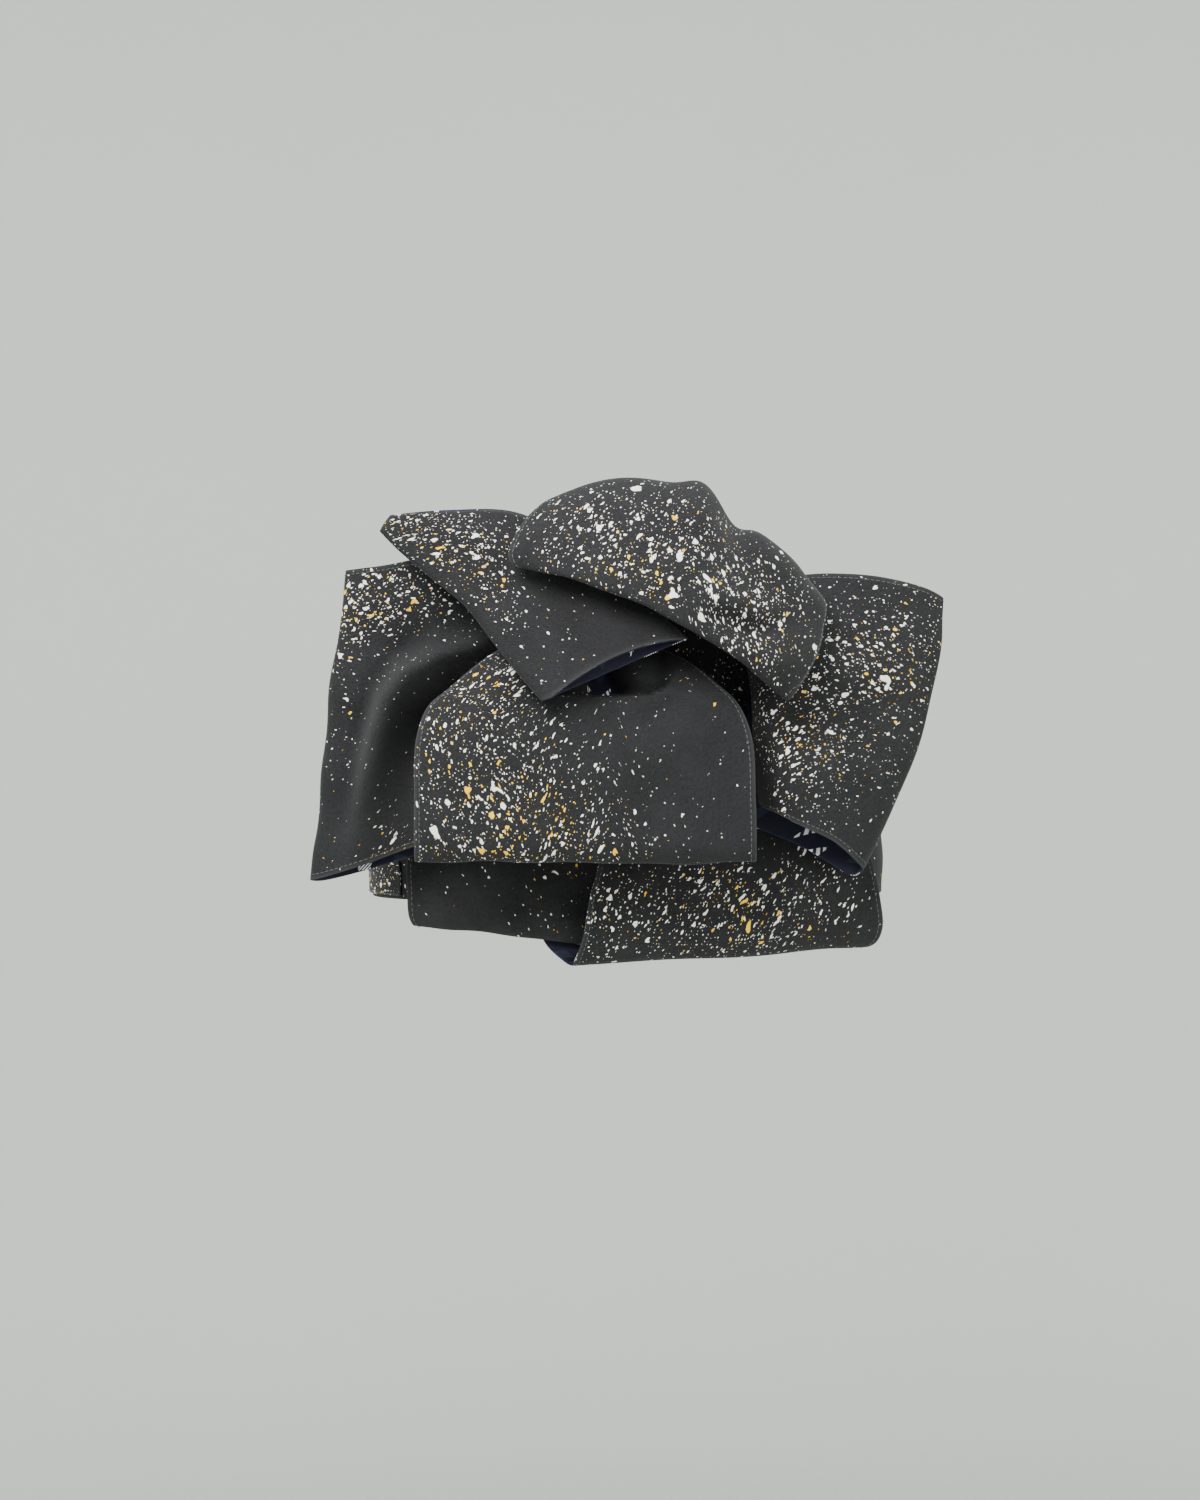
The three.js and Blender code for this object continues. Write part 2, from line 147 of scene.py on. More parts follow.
TAIL_RIGHT = table(
    "left right bow",
    ((-10, -118, -27), (46, -117, -27), (0, 0, 0)),
    ((-13, -124, -46), (128, -95, -44), (0, -2, 0)),
    ((-16, -128, -68), (138, -96, -66), (0, -6, 0)),
    ((-21, -128, -87), (143, -96, -88), (0, -7, 0)),
    ((-24, -127, -106), (144.5, -94, -104), (0, -7, 0)),
    ((-28, -123, -119), (141, -90, -113), (0, -6, 0)),
    ((-30.6, -116, -124), (135, -87, -115.5), (0, -6, 0)),
    ((-37, -107, -121), (131, -83, -110), (0, -7, 0)),
    ((-46, -101, -112), (128, -81, -97), (0, -8, 0)),
    ((-56, -98, -84), (125, -81, -72), (0, -9, 0)),
    ((-58, -97, -52), (118, -83, -48), (0, -8, 0)),
    ((-14, -99, -28), (46, -99, -28), (0, 0, 0)),
)

KNOT_CORE = table(
    "z half_width half_depth",
    (-24, 20, 4),
    (-14, 31, 7),
    (8, 36, 9),
    (34, 37, 10),
    (60, 36, 10),
    (80, 31, 8),
    (88, 22, 4),
)

# Waist ring: a rounded oval, as wide and deep as this, over the second wrap.
WAIST_HALF_WIDTH = 152.5
WAIST_HALF_DEPTH = 98.0
WAIST_SQUARENESS = 2.4
WAIST_GIRTH = 830
OVER_WRAP = (-46.4, 213.6)
BAND_HALF = 90.0
WRAP_SHIFT = 2.0

# Cloth, in millimetres
DOUBLE_CLOTH = 2.0
SINGLE_CLOTH = 1.0
LINING_DEPTH = 1.15
LINING_CLOTH = 0.95
SEAM_GAP = 0.3
RING_CELL_SHARE = 1.6  # the plain wraps' cells, as a share of the other cloth's
STITCH_PITCH = 3.1
STITCH_LENGTH = 2.3
STITCH_RADIUS = 0.27
STITCH_INSET = 2.4
STITCH_SINK = 0.05

# Each piece is cut from its own place on the printed and spattered cloth: these shifts,
# in millimetres, times the piece's seed.
CUT_SHIFT_ALONG = 13.0
CUT_SHIFT_ACROSS = 7.3

# Lining print, in millimetres
PRINT_CELL = (21.0, 17.0)
PRINT_HALF_SQUARE = 3.9
PRINT_HATCH_PER_METRE = 3100.0  # radians


# ---------------------------------------------------------------------------------------
# Surfaces
# ---------------------------------------------------------------------------------------

def span(a, b):
    """Square root of the distance between two rows of points, for centripetal spacing."""
    return np.sqrt(np.linalg.norm(b - a, axis=1))[:, None]


def curve(points, along):
    """Curve through the rows' points, read by the row's number from 0 to 1: a centripetal
    Catmull-Rom spline, carried on straight past both ends."""
    p = np.asarray(points, float)
    p = np.vstack([2 * p[0] - p[1], p, 2 * p[-1] - p[-2]])
    place = np.clip(along, 0, 1) * (len(points) - 1)
    row = np.minimum(place.astype(int), len(points) - 2)
    t = (place - row)[:, None]
    a, b, c, d = p[row], p[row + 1], p[row + 2], p[row + 3]
    middle = span(b, c)
    middle = np.where(middle < 1e-4, 1.0, middle)
    before = np.where(span(a, b) < 1e-4, middle, span(a, b))
    after = np.where(span(c, d) < 1e-4, middle, span(c, d))
    start = ((b - a) / before - (c - a) / (before + middle) + (c - b) / middle) * middle
    end = ((c - b) / middle - (d - b) / (middle + after) + (d - c) / after) * middle
    cubic = 2 * b - 2 * c + start + end
    square = -3 * b + 3 * c - 2 * start - end
    return ((cubic * t + square) * t + start) * t + b


def column(rows, name):
    """One column of a table as an array, numbers as single-valued points."""
    values = [row[name] for row in rows]
    return np.asarray(values, float).reshape(len(rows), -1)


def edge_places(length, step, fine=(0.0, 0.12, 0.4, 1.0)):
    """Distances from 0 to length: even steps, with closer lines at both ends for the
    rounded edge of the cloth."""
    fine = np.array(fine)
    count = max(2, int(round((length - 2 * fine[-1]) / step)))
    middle = np.linspace(fine[-1], length - fine[-1], count + 1)
    return np.concatenate([fine[:-1], middle, (length - fine[:-1])[::-1]])


def even_along(line, step):
    """Shares from 0 to 1 at which a line, read evenly by number, is cut in even steps."""
    run = np.concatenate([[0], np.cumsum(np.linalg.norm(np.diff(line, axis=0), axis=1))])
    places = edge_places(run[-1], step)
    return np.interp(places, run, np.linspace(0, 1, len(line)))


def strip(rows, first, second, step):
    """Grid of points over a table: straight across from edge to edge, plus a parabola
    times the row's bow. Both ways it is cut in about even steps."""
    fine = np.linspace(0, 1, 500)
    edges = [curve(column(rows, name), fine) for name in (first, second)]
    middle = (edges[0] + edges[1]) / 2 + curve(column(rows, "bow"), fine)
    along = even_along(middle, step)
    width = np.linalg.norm(edges[1] - edges[0], axis=1).max()
    share = (edge_places(width, step) / width)[None, :, None]
    a, b, bow = (curve(column(rows, n), along)[:, None, :] for n in (first, second, "bow"))
    return a + (b - a) * share + bow * 4 * share * (1 - share)


def folded_strip(rows, step, arc_steps=8):
    """Grid over a strip folded along its length: across the front from the open edge to
    the fold, round a half circle as wide as the gap, and back behind. The back hangs
    lower in its middle by the row's drop."""
    fine = np.linspace(0, 1, 500)
    middle = (curve(column(rows, "open"), fine) + curve(column(rows, "fold"), fine)) / 2
    along = even_along(middle, step)
    a = curve(column(rows, "open"), along)[:, None, :]
    b = curve(column(rows, "fold"), along)[:, None, :]
    bow = curve(column(rows, "bow"), along)[:, None, :]
    numbers = np.linspace(0, 1, len(rows))
    gap = np.interp(along, numbers, column(rows, "gap")[:, 0])[:, None, None]
    drop = np.interp(along, numbers, column(rows, "drop")[:, 0])[:, None, None]
    width = np.linalg.norm(b - a, axis=2).max()
    share = (edge_places(width, step)[:-3] / width)[None, :, None]
    belly = 4 * share * (1 - share)
    front = a + (b - a) * share + bow * belly
    back = front[:, ::-1] + gap * np.array([0, 1, 0]) - drop * belly[:, ::-1] * np.array([0, 0, 1])
    outward = (b - a) * np.array([1, 0, 1])
    outward = outward / np.linalg.norm(outward, axis=2, keepdims=True)
    turn = np.linspace(0, math.pi, arc_steps + 1)[None, :, None]
    arc = b + outward * gap / 2 * np.sin(turn)
    arc = arc + np.array([0, 1, 0]) * gap / 2 * (1 - np.cos(turn))
    return np.concatenate([front, arc, back], axis=1)


def ring(inset, low, high, start, end, step):
    """Waist ring from one angle to another: an oval of the waist's size less the inset,
    with the waist's squareness, times a height."""
    power = 2 / WAIST_SQUARENESS
    turns = np.radians(np.linspace(start, end, 721))
    sweep = oval(turns, inset, power)
    along = even_along(sweep, step) if end - start < 360 else np.linspace(0, 1, int(WAIST_GIRTH / step))
    line = oval(np.radians(start + (end - start) * along), inset, power)
    height = edge_places(high - low, step)
    grid = np.repeat(line[:, None, :], len(height), axis=1)
    grid[:, :, 2] = high - height[None, :]
    return grid


def oval(turns, inset, power):
    """Points round the waist at z 0, at these angles."""
    c, s = np.cos(turns), np.sin(turns)
    x = (WAIST_HALF_WIDTH - inset) * np.sign(c) * np.abs(c) ** power
    y = (WAIST_HALF_DEPTH - inset) * np.sign(s) * np.abs(s) ** power
    return np.stack([x, y, 0 * x], axis=1)


def unit(vectors):
    """Vectors scaled to length 1."""
    return vectors / np.maximum(np.linalg.norm(vectors, axis=-1, keepdims=True), 1e-9)


def normals(grid, side, closed=False):
    """Unit normals of a grid, along its rows' cross product when side is 1, and the other
    way when it is -1: the side is chosen so that they point to the cloth's outer face."""
    if closed:
        looped = np.concatenate([grid[-2:-1], grid, grid[1:2]])
        along = looped[2:] - looped[:-2]
    else:
        along = np.gradient(grid, axis=0)
    return unit(np.cross(along, np.gradient(grid, axis=1))) * side


def lengths(grid):
    """Distances over the cloth from its first row and from its first edge."""
    along = np.linalg.norm(np.diff(grid, axis=0), axis=2)
    across = np.linalg.norm(np.diff(grid, axis=1), axis=2)
    along = np.concatenate([np.zeros((1, grid.shape[1])), np.cumsum(along, axis=0)])
    across = np.concatenate([np.zeros((grid.shape[0], 1)), np.cumsum(across, axis=1)], axis=1)
    return along, across


def smooth(value, low, high):
    """Smooth step from 0 at low to 1 at high."""
    t = np.clip((value - low) / (high - low), 0, 1)
    return t * t * (3 - 2 * t)


def fronting(grid, side):
    """1 where the cloth's outer side faces the back of the wearer, 0 where it faces away."""
    return smooth(-normals(grid, side)[..., 1], 0.05, 0.45)


def to_line(grid, line):
    """Distance in x and z from a line of (x, z, value) rows, the value there, and the
    side: 1 to the right of the way that the line runs, -1 to its left."""
    best = np.full(grid.shape[:2], 1e9)
    value = np.zeros(grid.shape[:2])
    hand = np.ones(grid.shape[:2])
    flat = grid[..., [0, 2]]
    for start, end in zip(line[:-1], line[1:]):
        a, run = np.array(start[:2], float), np.array(end[:2], float) - start[:2]
        share = np.clip((flat - a) @ run / (run @ run), 0, 1)
        away = flat - a - share[..., None] * run
        distance = np.linalg.norm(away, axis=2)
        nearer = distance < best
        best = np.where(nearer, distance, best)
        value = np.where(nearer, start[2] + (end[2] - start[2]) * share, value)
        turn = run[0] * away[..., 1] - run[1] * away[..., 0]
        hand = np.where(nearer, np.where(turn < 0, 1.0, -1.0), hand)
    return best, value, hand


def crease(grid, line, left_width, right_width=None):
    """Soft ridge, or trough where the value is below 0, beside a line of (x, z, height):
    the height times a bell of the distance, with its own width on each side."""
    distance, height, hand = to_line(grid, line)
    width = np.where(hand > 0, right_width or left_width, left_width)
    return height * np.exp(-((distance / width) ** 2))


def ripple(along, across, seed, wave, amount):
    """Uneven soft waves: the sum of six sines with seeded directions, lengths and shifts."""
    draw = np.random.default_rng(seed)
    total = np.zeros(along.shape)
    for turn, scale, shift in zip(draw.uniform(0, math.pi, 6), draw.uniform(0.6, 1.6, 6),
                                  draw.uniform(0, 2 * math.pi, 6)):
        place = along * math.cos(turn) + across * math.sin(turn)
        total += np.sin(2 * math.pi * place / (wave * scale) + shift)
    return total * amount / 6 ** 0.5


def spots(grid, table):
    """Sum of soft oval spots seen from behind. Each row of the table has x and z of the
    centre, half width, half height, turn in degrees, and amount."""
    total = np.zeros(grid.shape[:2])
    for x, z, half_width, half_height, turn, amount in table:
        c, s = math.cos(math.radians(turn)), math.sin(math.radians(turn))
        dx, dz = grid[..., 0] - x, grid[..., 2] - z
        first, second = (c * dx + s * dz) / half_width, (c * dz - s * dx) / half_height
        total += amount * np.exp(-(first ** 2 + second ** 2))
    return total


# ---------------------------------------------------------------------------------------
# Cloth walls
# ---------------------------------------------------------------------------------------

def rim_shape(grid, thickness, closed):
    """0 at the cloth's edge and 1 further in than half its thickness: a round edge."""
    along, across = lengths(grid)
    distance = np.minimum(across, across[:, -1:] - across)
    if not closed:
        distance = np.minimum(distance, np.minimum(along, along[-1:] - along))
    near = np.clip(distance / (thickness / 2), 0, 1)
    return np.sqrt(np.clip(1 - (1 - near) ** 2, 0, 1)), distance


def wall(name, grid, side, thickness, depth=0.0, closed=False, paint=None, finishes=(), seed=0):
    """Closed sheet of cloth between two depths under a grid. Both faces are the middle
    surface moved along its normal by half the thickness times the rim's shape, so they
    meet in a round edge. The outer face takes the first finish, the inner the last."""
    out = normals(grid, side, closed)
    rim, distance = rim_shape(grid, thickness, closed)
    middle = grid - out * (depth + thickness / 2)
    half = out * (thickness / 2) * rim[..., None]
    layers = np.concatenate([(middle + half).reshape(-1, 3), (middle - half).reshape(-1, 3)])
    m, n = grid.shape[:2]
    first = np.arange(m * n).reshape(m, n)
    second = first + m * n
    if closed:
        first[-1], second[-1] = first[0], second[0]
    second[:, 0], second[:, -1] = first[:, 0], first[:, -1]
    if not closed:
        second[0], second[-1] = first[0], first[-1]
    outer, inner = quads(first), quads(second)[:, ::-1]
    faces = np.concatenate([outer, inner] if side > 0 else [outer[:, ::-1], inner[:, ::-1]])
    used, index = np.unique(faces, return_inverse=True)
    mesh = make_mesh(name, layers[used] * MM, index.reshape(-1, 4))
    finish = np.repeat([0, len(finishes) - 1], len(outer))
    mesh.polygons.foreach_set("material_index", finish.astype(np.int32))
    along, across = lengths(grid)
    place = [along + CUT_SHIFT_ALONG * seed, across + CUT_SHIFT_ACROSS * seed, 0 * along]
    cloth = np.stack(place, axis=2).reshape(-1, 3)
    add_attribute(mesh, "cloth", np.concatenate([cloth, cloth])[used] * MM)
    # Share of the paler colour in a thin band, about a millimetre wide, along every edge of the cloth
    pale_edge_share = np.exp(-distance / 0.9).ravel()
    add_attribute(mesh, "hem", np.concatenate([pale_edge_share, pale_edge_share])[used])
    for key, values in (paint or {}).items():
        both = np.concatenate([values.ravel(), values.ravel()])
        add_attribute(mesh, key, both[used])
    for finish in finishes:
        mesh.materials.append(finish)
    return show(name, mesh)


def quads(index):
    """Corner numbers of the cells of a grid of vertex numbers."""
    corners = [index[:-1, :-1], index[1:, :-1], index[1:, 1:], index[:-1, 1:]]
    return np.stack(corners, axis=-1).reshape(-1, 4)


def make_mesh(name, points, faces):
    """Smooth mesh from an array of points and an array of faces of one size."""
    mesh = bpy.data.meshes.new(name)
    count, corners = faces.shape
    mesh.vertices.add(len(points))
    mesh.vertices.foreach_set("co", np.asarray(points, np.float32).ravel())
    mesh.loops.add(count * corners)
    mesh.loops.foreach_set("vertex_index", faces.astype(np.int32).ravel())
    mesh.polygons.add(count)
    mesh.polygons.foreach_set("loop_start", np.arange(0, count * corners, corners, dtype=np.int32))
    mesh.polygons.foreach_set("use_smooth", np.ones(count, bool))
    mesh.update(calc_edges=True)
    mesh.validate()
    return mesh


def add_attribute(mesh, name, values):
    """Number or vector for each vertex, which the finishes read by name."""
    kind, field = ("FLOAT_VECTOR", "vector") if values.ndim == 2 else ("FLOAT", "value")
    attribute = mesh.attributes.new(name, kind, "POINT")
    attribute.data.foreach_set(field, np.asarray(values, np.float32).ravel())


def show(name, mesh):
    """Object at the origin that rides on the part's one body."""
    piece = bpy.data.objects.new(name, mesh)
    bpy.context.scene.collection.objects.link(piece)
    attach(piece, "root")
    return piece


def stitch_line(grid, side, edge, start=0.0, end=1.0):
    """Places, directions and normals of the stitches beside one long edge (0 or -1) of a
    grid, at an even pitch, on its outer side."""
    along, across = lengths(grid)
    out = normals(grid, side)
    inward = across if edge == 0 else across[:, -1:] - across
    pick = np.argmin(np.abs(inward - STITCH_INSET), axis=1)
    rows = np.arange(len(grid))
    line, lift = grid[rows, pick], out[rows, pick]
    run = np.concatenate([[0], np.cumsum(np.linalg.norm(np.diff(line, axis=0), axis=1))])
    count = int(run[-1] * (end - start) / STITCH_PITCH)
    at = run[-1] * start + (np.arange(count) + 0.5) * STITCH_PITCH
    place, ahead = points_along(at, run, line), points_along(at + 0.5, run, line)
    normal = unit(points_along(at, run, lift))
    return place - normal * STITCH_SINK, unit(ahead - place + 1e-9), normal


def points_along(at, run, line):
    """Points of a line at these distances, where run is the distance of each of its own."""
    return np.stack([np.interp(at, run, line[:, k]) for k in range(3)], axis=1)


def stitch_mesh(name, lines, sides=6):
    """All stitches as one mesh: each is a small spindle, its radius a half sine of its
    length, laid along the seam."""
    place, ahead, normal = (np.concatenate([line[k] for line in lines]) for k in range(3))
    sideways = unit(np.cross(ahead, normal))
    normal = np.cross(sideways, ahead)
    rings = np.array([-1.0, -0.75, 0.0, 0.75, 1.0])
    radius = STITCH_RADIUS * np.array([0.25, 0.8, 1.0, 0.8, 0.25])
    turn = np.linspace(0, 2 * math.pi, sides, endpoint=False)
    lengthwise = (rings * STITCH_LENGTH / 2)[None, :, None, None]
    body = (place[:, None, None] + ahead[:, None, None] * lengthwise
            + sideways[:, None, None] * (radius[:, None] * np.cos(turn))[None, ..., None]
            + normal[:, None, None] * (radius[:, None] * np.sin(turn))[None, ..., None])
    first = np.arange(len(rings) * sides).reshape(len(rings), sides)
    looped = np.concatenate([first, first[:, :1]], axis=1)
    half = sides // 2
    foot, head = (np.stack([end[:half - 1], end[1:half], end[::-1][1:half], end[::-1][:half - 1]], axis=1)
                  for end in (first[0], first[-1]))
    one = np.concatenate([quads(looped)[:, ::-1], foot, head[:, ::-1]])
    faces = (one[None] + (np.arange(len(place)) * first.size)[:, None, None]).reshape(-1, 4)
    return make_mesh(name, body.reshape(-1, 3) * MM, faces)


# ---------------------------------------------------------------------------------------
# Finishes
# ---------------------------------------------------------------------------------------

class Graph:
    """Short ways to add shader nodes to one material."""

    def __init__(self, name):
        self.material = bpy.data.materials.new(name)
        self.material.use_nodes = True
        self.tree = self.material.node_tree
        self.shader = self.tree.nodes["Principled BSDF"]

    def node(self, kind, inputs=(), **settings):
        """Node with these settings, its inputs set or linked by name or number."""
        made = self.tree.nodes.new(kind)
        for key, value in settings.items():
            setattr(made, key, value)
        for key, value in dict(inputs).items():
            self.feed(made.inputs[key], value)
        return made

    def feed(self, socket, value):
        """Links an output to the socket, or sets its number or colour."""
        if isinstance(value, bpy.types.NodeSocket):
            self.tree.links.new(value, socket)
        else:
            socket.default_value = value

    def math(self, operation, a, b=0.0, c=0.0, clamp=False):
        """Result of one sum on numbers or outputs."""
        made = self.node("ShaderNodeMath", operation=operation, use_clamp=clamp)
        for socket, value in zip(made.inputs, (a, b, c)):
            self.feed(socket, value)
        return made.outputs[0]

    def mix(self, factor, a, b):
        """Colour from a to b by the factor."""
        made = self.node("ShaderNodeMix", data_type="RGBA")
        self.feed(made.inputs[0], factor)
        self.feed(made.inputs[6], a)
        self.feed(made.inputs[7], b)
        return made.outputs[2]

    def attribute(self, name, output="Fac"):
        """The piece's own number or vector of this name."""
        return self.node("ShaderNodeAttribute", attribute_name=name).outputs[output]

    def step(self, value, low, high):
        """0 at low to 1 at high."""
        made = self.node("ShaderNodeMapRange", {"From Min": low, "From Max": high})
        self.feed(made.inputs["Value"], value)
        return made.outputs[0]

    def vector(self, operation, a, b=None, scale=1.0):
        """Result of one sum on vectors."""
        inputs = {0: a, "Scale": scale} if b is None else {0: a, 1: b}
        return self.node("ShaderNodeVectorMath", operation=operation, inputs=inputs).outputs[0]

    def noise(self, place, scale, detail=2.0):
        """Noise texture node."""
        return self.node("ShaderNodeTexNoise", {"Vector": place, "Scale": scale, "Detail": detail})


def shade_of(colour, share=1.0):
    """A setting's colour, lightened or darkened, as a shader's own."""
    return (*(channel * share for channel in colour), 1)


def drop_layer(graph, place, cell, turn, stretch, radius, presence, shift):
    """One size of drop: a warped cell pattern in which a share of the cells, given by the
    presence, holds a drop of uneven radius. Returns the drop's mask and its own shade."""
    scaled = graph.node("ShaderNodeMapping", {
        "Vector": place, "Location": (shift, shift * 1.7, 0), "Rotation": (0, 0, math.radians(turn)),
        "Scale": (1 / (cell * stretch * MM), 1 / (cell * MM), 1)}).outputs[0]
    wobble = graph.noise(scaled, 1.7, 1.0).outputs["Color"]
    centred = graph.vector("SUBTRACT", wobble, (0.5, 0.5, 0.5))
    warped = graph.vector("ADD", scaled, graph.vector("SCALE", centred, scale=0.85))
    cells = graph.node("ShaderNodeTexVoronoi", {"Vector": warped, "Scale": 1.0, "Randomness": 1.0},
                       voronoi_dimensions="2D")
    parts = graph.node("ShaderNodeSeparateColor", {"Color": cells.outputs["Color"]})
    squared = graph.math("POWER", parts.outputs[1], 2.0)
    size = graph.math("MULTIPLY_ADD", squared, radius * 0.65, radius * 0.35)
    depth = graph.math("SUBTRACT", size, cells.outputs["Distance"])
    inside = graph.math("DIVIDE", depth, radius * 0.16, clamp=True)
    there = graph.math("LESS_THAN", parts.outputs[0], presence)
    return graph.math("MULTIPLY", inside, there), parts.outputs[2]


# Sizes of thrown drop: cell in millimetres, turn in degrees, stretch and radius in cells.
# The share of cells with a drop is the attribute to this power, times share, plus base.
DROPS = table(
    "of cell turn stretch radius share base power shift",
    ("spatter", 1.7, 20, 1.2, 0.27, 0.42, 0.014, 1.1, 0.31),
    ("spatter", 2.8, -40, 1.5, 0.31, 0.36, 0.003, 1.5, 1.7),
    ("spatter", 4.3, 50, 1.25, 0.32, 0.30, 0.001, 2.0, 2.9),
    ("spatter", 7.0, -15, 1.3, 0.27, 0.24, 0.0, 2.4, 4.3),
    ("coarse", 14.0, 35, 1.1, 0.21, 0.42, 0.0, 1.0, 6.1),
)


def face_finish(colours):
    """Matte charcoal twill, mottled, with thrown white and yellow drops whose number,
    size and colour follow the cloth's own attributes."""
    graph = Graph("charcoal_spattered_twill")
    place = graph.attribute("cloth", "Vector")
    heavy, yellow, coarse = (graph.attribute(n) for n in ("spatter", "yellow", "coarse"))
    fine = graph.noise(place, 620.0, 3.0).outputs["Fac"]
    broad = graph.noise(place, 38.0, 3.0).outputs["Fac"]
    heather = graph.math("MULTIPLY_ADD", graph.step(fine, 0.3, 0.72), 0.65,
                        graph.math("MULTIPLY", graph.step(broad, 0.3, 0.7), 0.35))
    cloth = graph.mix(heather, shade_of(colours.charcoal_dark), shade_of(colours.charcoal_light))
    # The face turns paler in a thin band along its edges, by the hem attribute
    pale_edge_share = graph.math("MULTIPLY", graph.attribute("hem"), 0.55)
    cloth = graph.mix(pale_edge_share, cloth, shade_of(colours.pale_edge))
    colour, masks = cloth, 0.0
    for row in DROPS:
        thick = graph.math("POWER", coarse if row["of"] == "coarse" else heavy, row["power"])
        presence = graph.math("MULTIPLY_ADD", thick, row["share"], row["base"])
        mask, shade = drop_layer(graph, place, row["cell"], row["turn"], row["stretch"],
                                 row["radius"], presence, row["shift"])
        colour, masks = add_drops(graph, colours, colour, masks, mask, shade, yellow)
    graph.feed(graph.shader.inputs["Base Color"], colour)
    twill = graph.node("ShaderNodeTexWave", {"Vector": place, "Scale": 330.0, "Distortion": 1.2,
                                             "Detail": 1.0}, bands_direction="DIAGONAL").outputs["Fac"]
    weave = graph.math("MULTIPLY_ADD", twill, 0.35, fine)
    raised = graph.math("MULTIPLY_ADD", masks, 0.5, weave)
    bump = graph.node("ShaderNodeBump", {"Height": raised, "Strength": 0.55, "Distance": 0.0004})
    graph.feed(graph.shader.inputs["Normal"], bump.outputs[0])
    rough = graph.math("MULTIPLY_ADD", masks, -0.28, 0.93)
    graph.feed(graph.shader.inputs["Roughness"], rough)
    graph.shader.inputs["Sheen Weight"].default_value = 0.05
    graph.shader.inputs["Sheen Roughness"].default_value = 0.5
    graph.shader.inputs["Specular IOR Level"].default_value = 0.3
    return graph.material


def add_drops(graph, colours, colour, masks, mask, shade, yellow):
    """Lays one size of drop over the colour so far: yellow where the cell's own shade is
    under the yellow share, and else white, a little uneven."""
    pale = graph.mix(graph.math("MULTIPLY", shade, 0.5),
                     shade_of(colours.drop_white), shade_of(colours.drop_cream))
    gold = graph.mix(graph.math("MULTIPLY", shade, 1.5),
                     shade_of(colours.drop_gold), shade_of(colours.drop_yellow))
    picked = graph.mix(graph.math("LESS_THAN", shade, yellow), pale, gold)
    return graph.mix(mask, colour, picked), graph.math("MAXIMUM", masks, mask)


def lining_finish(colours):
    """Navy plain weave printed with small squares on a half-drop repeat, some hatched in
    white, the others solid in a soft blue."""
    graph = Graph("navy_printed_lining")
    place = graph.attribute("cloth", "Vector")
    cells = (1 / (PRINT_CELL[0] * MM), 1 / (PRINT_CELL[1] * MM), 1)
    scaled = graph.node("ShaderNodeMapping", {"Vector": place, "Scale": cells}).outputs[0]
    parts = graph.node("ShaderNodeSeparateXYZ", {"Vector": scaled})
    row = graph.math("FLOOR", parts.outputs[1])
    half_drop = graph.math("MULTIPLY", graph.math("FLOORED_MODULO", row, 2.0), 0.5)
    across = graph.math("ADD", parts.outputs[0], half_drop)
    square = None
    for value, cell in zip((across, parts.outputs[1]), PRINT_CELL):
        offset = graph.math("ABSOLUTE", graph.math("SUBTRACT", graph.math("FRACT", value), 0.5))
        inside = graph.math("LESS_THAN", offset, PRINT_HALF_SQUARE / cell)
        square = inside if square is None else graph.math("MULTIPLY", square, inside)
    cell_number = graph.node("ShaderNodeCombineXYZ", {0: graph.math("FLOOR", across), 1: row}).outputs[0]
    random = graph.node("ShaderNodeTexWhiteNoise", {"Vector": cell_number}, noise_dimensions="2D")
    straight = graph.node("ShaderNodeSeparateXYZ", {"Vector": place})
    slant = graph.math("ADD", straight.outputs[0], graph.math("MULTIPLY", straight.outputs[1], 0.8))
    wave = graph.math("SINE", graph.math("MULTIPLY", slant, PRINT_HATCH_PER_METRE))
    hatch = graph.math("GREATER_THAN", wave, -0.1)
    white = graph.math("MULTIPLY", square, hatch)
    bright = graph.math("LESS_THAN", random.outputs["Value"], 0.5)
    weave = graph.noise(place, 1500.0, 2.0).outputs["Fac"]
    navy = graph.mix(weave, shade_of(colours.lining_navy), shade_of(colours.lining_navy, 1.7))
    dim = graph.mix(graph.math("MULTIPLY", square, 0.5), navy, shade_of(colours.lining_blue))
    colour = graph.mix(graph.math("MULTIPLY", white, bright), dim, shade_of(colours.lining_white))
    graph.feed(graph.shader.inputs["Base Color"], colour)
    bump = graph.node("ShaderNodeBump", {"Height": weave, "Strength": 0.4, "Distance": 0.0002})
    graph.feed(graph.shader.inputs["Normal"], bump.outputs[0])
    graph.shader.inputs["Roughness"].default_value = 0.75
    graph.shader.inputs["Specular IOR Level"].default_value = 0.35
    return graph.material


def thread_finish(colours):
    """Charcoal sewing thread, with a little uneven shade."""
    graph = Graph("charcoal_thread")
    place = graph.node("ShaderNodeTexCoord").outputs["Object"]
    shade = graph.noise(place, 300.0, 1.0).outputs["Fac"]
    colour = graph.mix(shade, shade_of(colours.thread, 0.7), shade_of(colours.thread))
    graph.feed(graph.shader.inputs["Base Color"], colour)
    graph.shader.inputs["Roughness"].default_value = 0.7
    return graph.material


def wall_finish(colour):
    """Matt painted backdrop with a faint uneven tone."""
    graph = Graph("pale_backdrop")
    place = graph.node("ShaderNodeTexCoord").outputs["Object"]
    tone = graph.noise(place, 1.3, 2.0).outputs["Fac"]
    graph.feed(graph.shader.inputs["Base Color"],
               graph.mix(tone, shade_of(colour, 0.96), shade_of(colour)))
    graph.shader.inputs["Roughness"].default_value = 0.9
    return graph.material


def finish_of(kind):
    """The shared finish of this kind, made once."""
    colours = bpy.context.scene.obi_colours
    makers = {"face": ("charcoal_spattered_twill", face_finish),
              "lining": ("navy_printed_lining", lining_finish),
              "thread": ("charcoal_thread", thread_finish)}
    name, maker = makers[kind]
    return bpy.data.materials.get(name) or maker(colours)


# ---------------------------------------------------------------------------------------
# Settings
# ---------------------------------------------------------------------------------------

